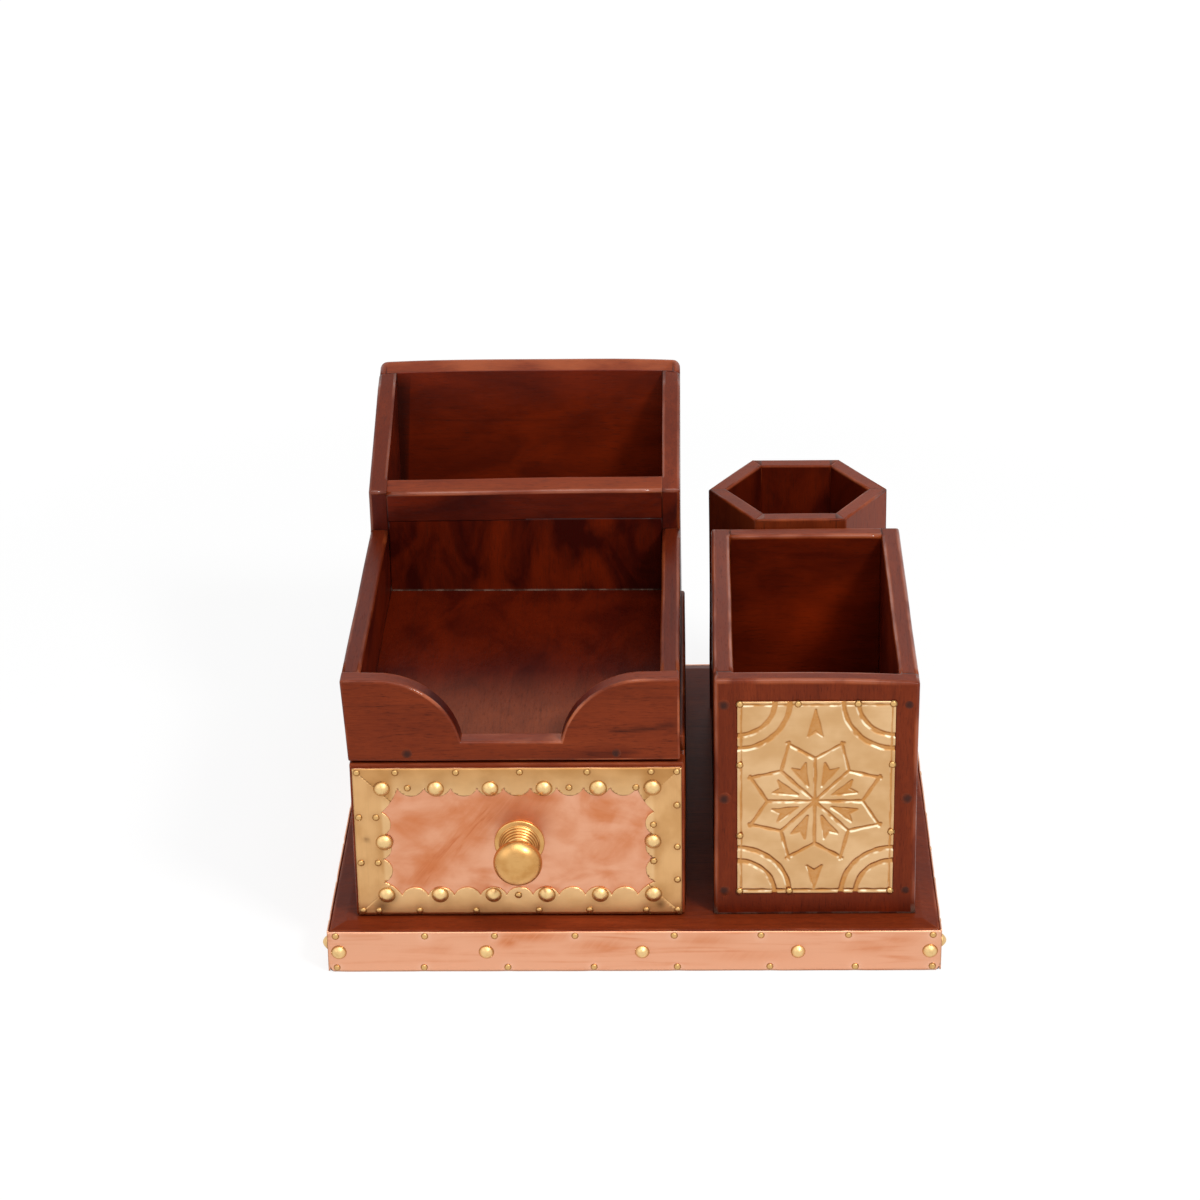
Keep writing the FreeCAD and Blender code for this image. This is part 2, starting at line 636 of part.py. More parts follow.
# Brads, set flush and filled over, that hold the tray front and the pen box front
brad_radius = value("dims.brad_radius")
brad_length = value("dims.brad_length")
tray_centre = value(tray_middle)
floor_middle = value(f"{floor_under} + dims.floor_thick / 2")
pen_low = value(platform)
pen_levels = spread(pen_low + value("dims.pen_brad_inset"),
                    pen_low + value("dims.pen_height") - value("dims.pen_brad_inset"), 3)
side_reach = value("(dims.pen_width - dims.pen_board) / 2")
side_middles = [value(pen_middle) + side * side_reach for side in (-1, 1)]
reach = value("dims.tray_brad_reach")
brad_places = [Vector(tray_centre + side * reach, value(front_face), floor_middle) for side in (-1, 1)]
brad_places += [Vector(x, value(pen_front), z) for x in side_middles for z in pen_levels]
group("assembly_brads", [
    Part.makeCylinder(brad_radius, brad_length, place, Vector(0, 1, 0)) for place in brad_places
])

# Every feature has to be sound before anything is written
doc.recompute()
for feature in doc.Objects:
    if "Invalid" in feature.State or "Error" in feature.State:
        raise RuntimeError(f"{feature.Label} failed: {feature.State}")
for feature in subparts:
    if feature.Shape.isNull() or not feature.Shape.isValid() or not feature.Shape.Solids:
        raise RuntimeError(f"{feature.Label} has no sound solid")
os.makedirs("parts", exist_ok=True)
for feature in subparts:
    feature.Shape.exportStep(f"parts/{feature.Label}.step")
print(len(subparts), "pieces written")
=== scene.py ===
"""A desk organizer of stained wood with copper bands, a brass panel and a brass-bordered drawer."""
import json
import math
import random
import bmesh
import bpy
import numpy as np
from mathutils import Matrix, Vector, noise

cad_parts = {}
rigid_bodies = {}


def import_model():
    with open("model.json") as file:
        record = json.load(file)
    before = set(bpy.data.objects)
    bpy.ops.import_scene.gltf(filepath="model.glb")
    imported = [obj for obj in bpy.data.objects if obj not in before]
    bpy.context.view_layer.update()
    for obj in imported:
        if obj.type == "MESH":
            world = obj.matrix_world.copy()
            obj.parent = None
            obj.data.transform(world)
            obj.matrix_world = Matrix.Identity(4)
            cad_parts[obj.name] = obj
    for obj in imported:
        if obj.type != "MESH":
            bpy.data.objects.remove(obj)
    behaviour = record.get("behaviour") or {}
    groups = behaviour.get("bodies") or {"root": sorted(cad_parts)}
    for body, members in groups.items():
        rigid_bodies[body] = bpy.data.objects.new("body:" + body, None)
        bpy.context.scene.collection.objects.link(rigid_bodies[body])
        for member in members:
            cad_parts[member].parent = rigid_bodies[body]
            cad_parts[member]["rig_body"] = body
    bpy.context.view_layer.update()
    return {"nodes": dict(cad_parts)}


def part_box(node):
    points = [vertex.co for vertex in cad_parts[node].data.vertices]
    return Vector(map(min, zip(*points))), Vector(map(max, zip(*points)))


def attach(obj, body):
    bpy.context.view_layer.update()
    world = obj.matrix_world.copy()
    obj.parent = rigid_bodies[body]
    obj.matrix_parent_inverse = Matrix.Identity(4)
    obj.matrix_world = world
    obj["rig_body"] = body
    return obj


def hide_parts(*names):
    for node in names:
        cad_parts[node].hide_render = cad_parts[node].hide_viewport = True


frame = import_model()

# Base board: one thick square plank of stained hardwood that carries everything else.
# Its edge stands upright for the copper bands, and a broad shallow bevel is planed round its top.
mm = 0.001
bevel_width = 8.0 * mm
bevel_rise = 1.2 * mm
wave_length = 42 * mm
noise.seed_set(3)


def shade(red, green, blue):
    """A colour given as a screen shows it, 0 to 255, in the linear light that shaders use."""
    linear = [((part / 255 + 0.055) / 1.055) ** 2.4 for part in (red, green, blue)]
    return (*linear, 1.0)


class Tone:
    """A shader socket that joins in sums, so that a finish reads as plain arithmetic."""

    def __init__(self, tree, socket=None):
        self.tree = tree
        self.socket = socket

    def node(self, kind, settings, sockets, output=0):
        """A new node of this finish: its settings first, then the values or links of its sockets."""
        made = self.tree.nodes.new(kind)
        for name, value in settings.items():
            setattr(made, name, value)
        self.feed(made, sockets)
        return Tone(self.tree, made.outputs[output])

    def feed(self, node, sockets):
        """Sets sockets to plain values, or links them to tones."""
        for name, value in sockets.items():
            if isinstance(value, Tone):
                self.tree.links.new(value.socket, node.inputs[name])
            else:
                node.inputs[name].default_value = value

    def sum(self, operation, first, second):
        return self.node("ShaderNodeMath", {"operation": operation}, {0: first, 1: second})

    def __add__(self, other):
        return self.sum("ADD", self, other)

    def __mul__(self, other):
        return self.sum("MULTIPLY", self, other)

    def __sub__(self, other):
        return self.sum("SUBTRACT", self, other)

    def __rsub__(self, other):
        return self.sum("SUBTRACT", other, self)

    __radd__ = __add__
    __rmul__ = __mul__

    def step(self, low, high):
        """A soft change from 0 to 1 between two levels."""
        limits = {"Value": self, "From Min": low, "From Max": high}
        return self.node("ShaderNodeMapRange", {"interpolation_type": "SMOOTHSTEP"}, limits)

    def mix(self, first, second):
        """The first colour where this tone is 0, and the second where it is 1."""
        return self.node("ShaderNodeMix", {"data_type": "RGBA"}, {0: self, 6: first, 7: second}, 2)


def finish(name, axis, shift=0.0):
    """A new material, its surface, and places on the piece in millimetres with the grain along X."""
    material = bpy.data.materials.new(name)
    material.use_nodes = True
    surface = material.node_tree.nodes["Principled BSDF"]
    place = Tone(material.node_tree).node("ShaderNodeTexCoord", {}, {}, "Object")
    turn = {"x": (0, 0, 0), "y": (0, 0, -math.pi / 2), "z": (0, math.pi / 2, 0)}[axis]
    start = (37 * shift, 11 * shift, 5 * shift)
    lie = {"Vector": place, "Location": start, "Rotation": turn, "Scale": (1 / mm,) * 3}
    return material, surface, place.node("ShaderNodeMapping", {}, lie)


def streaks(grain, length, width, detail=2.0, wander=0.0):
    """Noise drawn out along the grain, with a mean of one half."""
    stretch = {0: grain, 1: (1 / length, 1 / width, 1 / width)}
    drawn = grain.node("ShaderNodeVectorMath", {"operation": "MULTIPLY"}, stretch)
    noise_sockets = {"Vector": drawn, "Scale": 1.0, "Detail": detail, "Distortion": wander}
    return grain.node("ShaderNodeTexNoise", {}, noise_sockets)


def marked(grain, name):
    """How strongly the piece's own mesh is marked with a name, from 0 to 1."""
    return grain.node("ShaderNodeAttribute", {"attribute_name": name}, {}, "Fac")


def bumped(grain, height, strength, distance):
    """A surface normal that follows a height."""
    relief = {"Strength": strength, "Distance": distance, "Height": height}
    return grain.node("ShaderNodeBump", {}, relief)


stain = shade(128, 51, 22)
deep_stain = shade(84, 25, 8)
warm_wood = shade(148, 66, 28)
bare_wood = shade(188, 94, 46)
inner_stain_and_shade = shade(118, 33, 5)
inner_dark_and_shade = shade(56, 9, 2)
painted_light_red = shade(158, 46, 6)
pore_dark = shade(52, 16, 7)
seam_dark = shade(30, 9, 5)
dust_grey = shade(168, 140, 122)


def stained_wood(name, axis, shift, dark=0.5, warm=0.3, depth=0.55, inner=0.4, patchy=0.6, rough=0.36,
                 wear=0.3, gloss=0.15, sheen=0.1, rubbed=painted_light_red):
    """Red-brown stained and waxed hardwood, worn pale at its arrises, and darker inside the boxes as deep
    stain with painted shade.
    """
    material, surface, grain = finish(name, axis, shift)
    figure = streaks(grain, 70, 9, 3, 0.8)
    cloud = streaks(grain, 40, 22, 3)
    blotch = streaks(grain, 34, 17, 4, 0.9)
    mottle = streaks(grain, 3.2, 1.8, 3)
    fibre = streaks(grain, 6, 0.42, 2, 0.3)
    pores = streaks(grain, 3.2, 0.34, 1).step(0.57, 0.74)
    veins = streaks(grain, 48, 1.7, 4, 0.6).step(0.56, 0.74)
    edge = marked(grain, "edge")
    sunk = (figure * 0.5 + cloud * 0.3 + mottle * 0.2).step(0.44 + 0.4 * dark, 0.10 + 0.4 * dark)
    glow = blotch.step(0.74 - 0.3 * warm, 0.92 - 0.3 * warm)
    outside = (glow * 0.4).mix((sunk * depth).mix(stain, deep_stain), warm_wood)
    # Inside the boxes: deep stain, darkened further as painted shade.
    thin = blotch.step(0.28, 0.72) * patchy + mottle * 0.2 + (inner - 0.25 - 0.5 * patchy)
    # Marked patches: paler towards the tray's scoop, and a painted pool of orange-red light in the pen box.
    paler_patch_and_light_pool = marked(grain, "rubbed") * (0.3 + 0.8 * blotch)
    inside = paler_patch_and_light_pool.mix(thin.mix(inner_dark_and_shade, inner_stain_and_shade), rubbed)
    colour = marked(grain, "soaked_and_shaded").mix(outside, inside)
    colour = (pores * 0.36 + veins * 0.25 + (1 - fibre).step(0.42, 0.8) * 0.25).mix(colour, pore_dark)
    colour = (marked(grain, "joint") * 0.75).mix(colour, seam_dark)
    handled = streaks(grain, 26, 15, 5).step(0.40, 0.66)
    worn = edge * handled
    colour = (worn * wear).mix(colour, bare_wood)
    dust = marked(grain, "dust") * (0.2 + 0.5 * streaks(grain, 9, 4, 4).step(0.42, 0.6))
    colour = dust.mix(colour, dust_grey)
    height = fibre * 0.5 - pores * 0.4 + streaks(grain, 22, 7, 2) * 2.0
    sockets = {
        "Base Color": colour,
        "Roughness": cloud * 0.14 + mottle * 0.1 + pores * 0.1 + (rough - 0.12),
        "Normal": bumped(grain, height, 0.3, 0.12 * mm),
        "Specular IOR Level": sheen,
        "Coat Weight": edge.step(0.7, 1.0) * (0.2 + 0.8 * handled) * gloss,
        "Coat Roughness": 0.1,
    }
    grain.feed(surface, sockets)
    return material


def blank(node):
    """A sawn block as large as a piece of the frame."""
    low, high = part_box(node)
    wood = bmesh.new()
    bmesh.ops.create_cube(wood, size=1)
    bmesh.ops.scale(wood, vec=high - low, verts=wood.verts)
    bmesh.ops.translate(wood, vec=(low + high) / 2, verts=wood.verts)
    return wood


hair = 1e-8

def divide(shape, point, across, near=0.0, drop=False):
    """Divides a shape along a plane, and drops what lies beyond it if asked."""
    everything = shape.verts[:] + shape.edges[:] + shape.faces[:]
    bmesh.ops.bisect_plane(shape, geom=everything, dist=near, plane_co=point, plane_no=across,
                           clear_outer=drop)

def cells(shape, size):
    """Divides a shape by evenly spaced planes, so that its faces can take gentle waves."""
    for axis in range(3):
        reach = [vert.co[axis] for vert in shape.verts]
        low, high = min(reach), max(reach)
        across = Vector((axis == 0, axis == 1, axis == 2))
        count = round((high - low) / size)
        for part in range(1, count):
            divide(shape, across * (low + (high - low) * part / count), across, hair)


fittings = ("band", "nails", "pins", "panel", "brads", "copper", "border", "knob", "screw")
touch = 0.05 * mm
broad_face = 3 * mm


def beside(node):
    """The boxes of the boards that touch a board squarely, on the same body."""
    low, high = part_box(node)
    boxes = []
    for other, shown in frame["nodes"].items():
        apart = shown["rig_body"] != frame["nodes"][node]["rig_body"] or other == node
        askew = "cup" in other and "cup" not in node
        if apart or askew or any(word in other for word in fittings):
            continue
        near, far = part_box(other)
        if all(low[axis] < far[axis] + touch and near[axis] < high[axis] + touch for axis in range(3)):
            boxes.append((near, far))
    return boxes


def within(point, box, reach=0.0):
    """Whether a point lies in a box that is grown by a reach."""
    return all(box[0][axis] - reach < point[axis] < box[1][axis] + reach for axis in range(3))


def on_outline(point, box):
    """Whether a point lies on one of a box's twelve edges."""
    levels = [min(abs(point[axis] - corner[axis]) for corner in box) < touch for axis in range(3)]
    return sum(levels) >= 2 and within(point, box, touch)


def goes_on(edge, boxes):
    """Whether the wood goes on in a neighbouring board beyond an arris."""
    middle = (edge.verts[0].co + edge.verts[1].co) / 2
    first, second = [face.normal for face in edge.link_faces]
    probes = [middle + way * 0.3 * mm for way in (first - second, second - first)]
    return any(within(probe, box) for probe in probes for box in boxes)


def split_beside(wood, boxes):
    """Divides a board where its neighbours begin and end."""
    for box in boxes:
        for axis in range(3):
            across = Vector((axis == 0, axis == 1, axis == 2))
            reach = [vert.co[axis] for vert in wood.verts]
            for corner in box:
                if min(reach) + 0.6 * mm < corner[axis] < max(reach) - 0.6 * mm:
                    divide(wood, across * corner[axis], across, hair)


def narrowest(edge):
    """How far the narrower of an arris's two faces reaches from it."""
    start = edge.verts[0].co
    run = (edge.verts[1].co - start).normalized()
    return min(max((vert.co - start).cross(run).length for vert in face.verts) for face in edge.link_faces)


def unfold(wood, broad):
    """Draws together the short edges that turned over when the margins of broad faces were drawn in."""
    wood.normal_update()
    turned = {edge for face in broad for edge in face.edges
              if any(other.normal.dot(face.normal) < -0.5 for other in edge.link_faces)}
    bmesh.ops.collapse(wood, edges=list(turned))


def hand_finished(wood, node, ease=0.8 * mm, sway=0.25 * mm, cell=8 * mm, margin=0.5 * mm, soaked_and_shaded=()):
    """Rounds the free arrises, leaves glued joints flush, and gives the faces the waves of hand planing."""
    marks = {name: wood.verts.layers.float.new(name) for name in ("edge", "joint", "soaked_and_shaded", "rubbed", "dust")}
    strip = wood.faces.layers.int.new("strip")
    boxes = beside(node)
    split_beside(wood, boxes)
    arrises = [edge for edge in wood.edges if edge.is_convex and edge.calc_face_angle(0) > math.radians(20)]
    free = [edge for edge in arrises if not goes_on(edge, boxes) and narrowest(edge) > ease]
    rounded = bmesh.ops.bevel(wood, geom=free, offset=ease, offset_type="OFFSET", affect="EDGES",
                              segments=3, profile=0.5, material=-1)
    for face in rounded["faces"]:
        face[strip] = 1
    plain = [edge for edge in wood.edges if edge.calc_face_angle(1) < 0.001
             and not any(face[strip] for face in edge.link_faces)
             and not any(all(on_outline(vert.co, box) for vert in edge.verts) for box in boxes)]
    bmesh.ops.dissolve_edges(wood, edges=plain, use_verts=False)
    broad = []
    for face in wood.faces:
        spans = [max(vert.co[axis] for vert in face.verts) - min(vert.co[axis] for vert in face.verts)
                 for axis in range(3)]
        if not face[strip] and sorted(spans)[1] > broad_face:
            broad.append(face)
    bmesh.ops.inset_individual(wood, faces=broad, thickness=margin)
    unfold(wood, broad)
    cells(wood, cell)
    for vert in wood.verts:
        free = any(face[strip] for face in vert.link_faces)
        # Faces turned into a box are marked for deep stain with painted shade.
        inner = any(face.normal.dot(way) > 0.7 for face in vert.link_faces for way in soaked_and_shaded)
        vert[marks["edge"]] = float(free)
        vert[marks["joint"]] = float(any(on_outline(vert.co, box) for box in boxes))
        vert[marks["soaked_and_shaded"]] = float(inner and not free)
    for vert in wood.verts:
        vert.co += noise.noise_vector(vert.co / wave_length) * sway
    return wood


def mark(wood, name, strength):
    """Marks a shape where a rule gives a strength for a place."""
    layer = wood.verts.layers.float[name]
    for vert in wood.verts:
        vert[layer] = max(vert[layer], min(1, max(0, strength(vert.co))))
    return wood


def piece(name, shape, body, material, slot, *nodes):
    """Makes a finished shape a piece that rides on a body and stands for nodes of the frame."""
    for face in shape.faces:
        face.smooth = True
    mesh = bpy.data.meshes.new(name)
    shape.to_mesh(mesh)
    shape.free()
    mesh.materials.append(material)
    made = bpy.data.objects.new(name, mesh)
    bpy.context.scene.collection.objects.link(made)
    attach(made, body)
    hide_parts(*nodes)
    return made


def top_of(shape):
    """The highest face of a shape."""
    return max(shape.faces, key=lambda face: face.calc_center_median().z)


plank = blank("base_board")
bmesh.ops.translate(plank, vec=(0, 0, -bevel_rise), verts=top_of(plank).verts)
bmesh.ops.inset_region(plank, faces=[top_of(plank)], thickness=bevel_width, depth=bevel_rise)
base_wood = stained_wood("base_wood", "x", 1, dark=0.7, warm=0.3, rough=0.36, wear=0.25, sheen=0.05)
plank = hand_finished(plank, "base_board", ease=0.7 * mm)
for vert in plank.verts:
    vert.co.z = max(0, vert.co.z)
piece("base_board_wood", plank, "organizer", base_wood, "stained_wood", "base_board")

# Copper bands: four strips of thin copper sheet round the base's edge, two of them past the corners.
# Dome-headed brass nails and rows of small pins hold them, and each pin has drawn the sheet in a little.
band_cell = 1.0 * mm
corner_clip = Vector((1.6 * mm, 0, 2.3 * mm))
sides = {"front": 0, "right": 90, "back": 180, "left": 270}
fresh_copper = shade(229, 168, 134)
pale_copper = shade(244, 196, 168)
tarnished_copper = shade(206, 124, 76)
burnt_copper = shade(184, 96, 70)


band_smears = [(-64, 9, 4, 0.35), (-42, 11.5, 4, 1.0), (-35, 13.5, 13, 0.9), (-11, 10, 10, 0.7),
               (24, 12, 9, 0.6), (38, 6, 14, 0.4), (78, 9, 9, 0.5), (88, 12, 6, 0.5)]


def wiped(place, outward):
    """How much polish is smeared on a band at a place, beside some of its nails."""
    along = (place.x * outward.y - place.y * outward.x) / -mm
    strengths = []
    for middle, height, length, strength in band_smears:
        away = math.hypot((along - middle) / length, (place.z / mm - height) / 2.2)
        strengths.append(strength * math.exp(-(away ** 2)))
    return max(strengths)


def nail_places(node):
    """The outermost point of each nail in a group of the frame, and the way that it points."""
    copy = bmesh.new()
    copy.from_mesh(frame["nodes"][node].data)
    bmesh.ops.remove_doubles(copy, verts=copy.verts, dist=0.001 * mm)
    unseen = set(copy.verts)
    places = []
    while unseen:
        found = [unseen.pop()]
        for vert in found:
            near = {edge.other_vert(vert) for edge in vert.link_edges} & unseen
            unseen -= near
            found.extend(near)
        low = Vector([min(vert.co[axis] for vert in found) for axis in range(3)])
        high = Vector([max(vert.co[axis] for vert in found) for axis in range(3)])
        axis = max(range(3), key=lambda way: high[way] - low[way])
        tip = (low + high) / 2
        outward = Vector((0, 0, 0))
        outward[axis] = math.copysign(1, tip[axis])
        tip[axis] = high[axis] if tip[axis] > 0 else low[axis]
        places.append((tip, outward))
    copy.free()
    return sorted(places, key=lambda place: [round(part, 6) for part in place[0]])


def sheet_face(node, azimuth, cell):
    """The outer face of a thin sheet as a grid, with the way that it faces."""
    low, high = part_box(node)
    turn = Matrix.Rotation(math.radians(azimuth), 4, "Z") @ Matrix.Rotation(math.pi / 2, 4, "X")
    width, height, thick = [abs(part) for part in turn.inverted() @ (high - low)]
    outward = (turn @ Vector((0, 0, 1))).normalized()
    middle = (low + high) / 2 + outward * thick / 2
    place = Matrix.Translation(middle) @ turn @ Matrix.Diagonal((width, height, 1, 1))
    sheet = bmesh.new()
    bmesh.ops.create_grid(sheet, x_segments=round(width / cell), y_segments=round(height / cell),
                          size=0.5, matrix=place)
    return sheet, outward


def pressed(sheet, outward, nails, pins, dent, swell, reach):
    """Draws a sheet in at its nails and pins, lets it swell between them and marks the sheet round them."""
    halo = sheet.verts.layers.float.new("halo")
    ring = sheet.verts.layers.float.new("ring")
    for vert in sheet.verts:
        near_nail = min((vert.co - tip).length for tip, _ in nails)
        near_pin = min((vert.co - tip).length for tip, _ in pins)
        pull = math.exp(-((min(near_nail, near_pin) / reach) ** 2))
        lift = 0.5 + 0.5 * noise.noise(vert.co / (14 * mm))
        vert[halo] = math.exp(-((near_nail / (1.7 * reach)) ** 2))
        vert[ring] = math.exp(-((near_pin / (0.8 * reach)) ** 2))
        vert.co += outward * (swell * lift * (1 - pull) - dent * pull)
    return sheet


def verts_of(parts):
    """The points among the parts that an operator has made."""
    return [part for part in parts if isinstance(part, bmesh.types.BMVert)]

def backed(sheet, outward, thick):
    """Turns the edges of a sheet's face back to what lies under it and closes the back."""
    rim = [edge for edge in sheet.edges if edge.is_boundary]
    level = min((edge.verts[0].co.dot(outward) for edge in rim)) - thick
    turned = bmesh.ops.extrude_edge_only(sheet, edges=rim)["geom"]
    for vert in verts_of(turned):
        vert.co += outward * (level - vert.co.dot(outward))
    back = [part for part in turned if isinstance(part, bmesh.types.BMEdge) and part.is_boundary]
    bmesh.ops.edgeloop_fill(sheet, edges=back)
    bmesh.ops.recalc_face_normals(sheet, faces=sheet.faces)
    return sheet


def copper(name, axis, shift, tarnish, smear_length, smear_width, wisps):
    """Polished copper sheet with clouds of orange tarnish, fine scratches and red stains at the nails."""
    material, surface, grain = finish(name, axis, shift)
    slant = grain.node("ShaderNodeMapping", {}, {"Vector": grain, "Rotation": (0.0, 0.88, 0.0)})
    smear = streaks(grain, smear_length, smear_width, 4, 1.2)
    cloud = streaks(grain, 15, 10, 4, 0.6)
    scratch = streaks(grain, 26, 0.22, 2)
    brushed = streaks(slant, 11, 1.5, 4, 0.8)
    halo = marked(grain, "halo")
    ring = marked(grain, "ring")
    rubbed = marked(grain, "rubbed")
    tone = (smear * wisps + cloud * (1 - wisps)).step(0.70 - 0.3 * tarnish, 1.04 - 0.3 * tarnish)
    colour = tone.mix(fresh_copper, tarnished_copper)
    colour = (rubbed * (0.25 + 1.1 * brushed)).mix(colour, tarnished_copper)
    burnt = halo.step(0.2, 1.0) * cloud.step(0.40, 0.66)
    burnt = burnt + rubbed.step(0.7, 1.0) * brushed.step(0.45, 0.7) * 0.6
    colour = (burnt * 0.5 + (1 - scratch).step(0.52, 0.78) * 0.08).mix(colour, burnt_copper)
    colour = (ring * 0.6).mix(colour, pale_copper)
    sockets = {
        "Base Color": colour,
        "Metallic": 1.0,
        "Roughness": tone * 0.14 + scratch * 0.1 + rubbed * 0.1 + 0.3,
        "Normal": bumped(grain, scratch * 0.4 + rubbed * brushed * 0.4 + cloud * 1.5, 0.2, 0.08 * mm),
    }
    grain.feed(surface, sockets)
    return material


base_nails = nail_places("base_dome_nails")
base_pins = nail_places("base_pins")
for side, azimuth in sides.items():
    node = f"base_band_{side}"
    band, outward = sheet_face(node, azimuth, band_cell)
    low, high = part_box(node)
    if side == "front":
        for end in (low, Vector((high.x, low.y, low.z))):
            inward = 1 if end == low else -1
            cut = end + Vector((inward * corner_clip.x, 0, 0))
            across = Vector((-inward * corner_clip.z, 0, -corner_clip.x))
            divide(band, cut, across, drop=True)
    nails = [place for place in base_nails if place[1].dot(outward) > 0.5]
    pins = [place for place in base_pins if place[1].dot(outward) > 0.5]
    pressed(band, outward, nails, pins, dent=0.12 * mm, swell=0.22 * mm, reach=2.2 * mm)
    band.verts.layers.float.new("rubbed")
    mark(band, "rubbed", lambda place: wiped(place, outward))
    grain_axis = "x" if azimuth in (0, 180) else "y"
    piece(f"{node}_copper", backed(band, outward, 0.4 * mm), "organizer",
          copper(f"{node}_copper", grain_axis, azimuth / 50, 0.72, 52, 3.0, 0.75), "copper_sheet", node)

# Nails of the base: turned brass upholstery nails with domed heads, and small round-headed brass pins.
# They are driven by hand, so the heads sit a little askew, with old polish left brown round their feet.
dome_radius = 2.6 * mm
dome_rise = 1.9 * mm
pin_radius = 1.25 * mm
pin_rise = 0.4 * mm
bright_brass = shade(230, 194, 136)
pin_tone = shade(214, 172, 112)
dull_brass = shade(182, 136, 80)
hammer = random.Random(5)


def nail_head(group, tip, outward, radius, rise, rings, turns):
    """Spins one domed head, closed underneath, with its rim marked."""
    rim = group.verts.layers.float.get("rim") or group.verts.layers.float.new("rim")
    lean = Vector((hammer.uniform(-1, 1), hammer.uniform(-1, 1), hammer.uniform(-1, 1))) * 0.07
    up = (outward + lean).normalized()
    side = up.orthogonal().normalized()
    foot = tip - outward * rise
    outline = [group.verts.new(foot)]
    outline[0][rim] = 1
    for ring in range(rings + 1):
        out = 1 - ring / rings
        vert = group.verts.new(foot + side * radius * out + up * rise * (1 - out ** 2))
        vert[rim] = out
        outline.append(vert)
    edges = [group.edges.new(pair) for pair in zip(outline, outline[1:])]
    bmesh.ops.spin(group, geom=outline + edges, cent=foot, axis=up, angle=math.tau, steps=turns,
                   use_merge=True)


def nail_heads(places, radius, rise, rings, turns):
    """All heads of a group in one shape."""
    group = bmesh.new()
    for tip, outward in places:
        size = hammer.uniform(0.95, 1.04)
        nail_head(group, tip, outward, radius * size, rise, rings, turns)
    bmesh.ops.remove_doubles(group, verts=group.verts, dist=0.002 * mm)
    bmesh.ops.recalc_face_normals(group, faces=group.faces)
    return group


def nail_brass(name, brown, bright):
    """Brass of nail heads, bright on top and brown with old polish round the foot."""
    material, surface, grain = finish(name, "x")
    dirt = marked(grain, "rim").step(0.55, 1.0) * brown
    blot = streaks(grain, 1.6, 1.6, 3)
    colour = (dirt + blot.step(0.5, 0.75) * 0.25).mix(bright, dull_brass)
    sockets = {
        "Base Color": colour,
        "Metallic": 1.0,
        "Roughness": blot * 0.16 + dirt * 0.2 + 0.33,
        "Normal": bumped(grain, blot, 0.25, 0.1 * mm),
    }
    grain.feed(surface, sockets)
    return material


dome_brass = nail_brass("dome_nail_brass", 0.35, bright_brass)
pin_brass = nail_brass("pin_brass", 0.3, pin_tone)
piece("base_dome_nails_brass", nail_heads(base_nails, dome_radius, dome_rise, 5, 20), "organizer",
      dome_brass, "old_brass", "base_dome_nails")
piece("base_pins_brass", nail_heads(base_pins, pin_radius, pin_rise, 2, 9), "organizer",
      pin_brass, "old_brass", "base_pins")

# Drawer case: two upright boards glued to the base, under the board that is also the tray's floor.
# The floor is the darkest board: deep stain with painted shade inside the tray, and paler towards the scoop.
to_left = Vector((-1, 0, 0))
to_right = Vector((1, 0, 0))
to_front = Vector((0, -1, 0))
to_back = Vector((0, 1, 0))
upward = Vector((0, 0, 1))
for number, (side, inside) in enumerate((("left", to_right), ("right", to_left))):
    node = f"case_side_{side}"
    piece(f"{node}_wood", hand_finished(blank(node), node, soaked_and_shaded=[inside]), "organizer",
          stained_wood(f"{node}_wood", "y", 2 + number, dark=0.6), "stained_wood", node)
floor_scoop_tone = shade(132, 64, 36)
floor_wood = stained_wood("tray_floor_wood", "y", 4, inner=0.4, patchy=0.4, rough=0.28, sheen=0.05,
                          rubbed=floor_scoop_tone)
floor_board = hand_finished(blank("tray_floor"), "tray_floor", soaked_and_shaded=[upward])
# The floor is paler towards the scoop.
mark(floor_board, "rubbed", lambda place: (-38 * mm - place.y) / (34 * mm))
piece("tray_floor_wood", floor_board, "organizer", floor_wood, "stained_wood", "tray_floor")

# Note tray: low side boards and a front board with a finger scoop, glued and nailed over the case.
# The scoop is sawn between two round shoulders, and its edges are rubbed down to bare orange wood.
scoop_width = 32.6 * mm
scoop_depth = 22.4 * mm
shoulder_radius = 27.5 * mm
shoulder_steps = 14


def thickened(wood):
    """Fills an outline and extrudes the face, whose points are returned to be moved."""
    face = bmesh.ops.contextual_create(wood, geom=wood.edges[:])["faces"]
    return verts_of(bmesh.ops.extrude_face_region(wood, geom=face)["geom"])

def scooped_front(node):
    """The front board: its outline with two spun shoulders, filled and extruded to its thickness."""
    low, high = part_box(node)
    middle = (low.x + high.x) / 2
    fall = math.acos(1 - scoop_depth / shoulder_radius)
    reach = scoop_width / 2 + shoulder_radius * math.sin(fall)
    wood = bmesh.new()
    corners = [wood.verts.new((x, low.y, z)) for x, z in
               ((low.x, high.z), (low.x, low.z), (high.x, low.z), (high.x, high.z))]
    edges = [wood.edges.new(pair) for pair in zip(corners, corners[1:])]
    ends = []
    for sign, corner in ((-1, corners[0]), (1, corners[3])):
        start = wood.verts.new((middle + sign * reach, low.y, high.z))
        edges.append(wood.edges.new((corner, start)))
        centre = (middle + sign * reach, low.y, high.z - shoulder_radius)
        arc = bmesh.ops.spin(wood, geom=[start], cent=centre, axis=(0, -1, 0), angle=sign * fall,
                             steps=shoulder_steps)
        ends.append(arc["geom_last"][0])
    wood.edges.new(ends)
    bmesh.ops.translate(wood, vec=(0, high.y - low.y, 0), verts=thickened(wood))
    bmesh.ops.recalc_face_normals(wood, faces=wood.faces)
    return wood


tray_low, tray_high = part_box("tray_front")
end_lean = 1.5 * mm


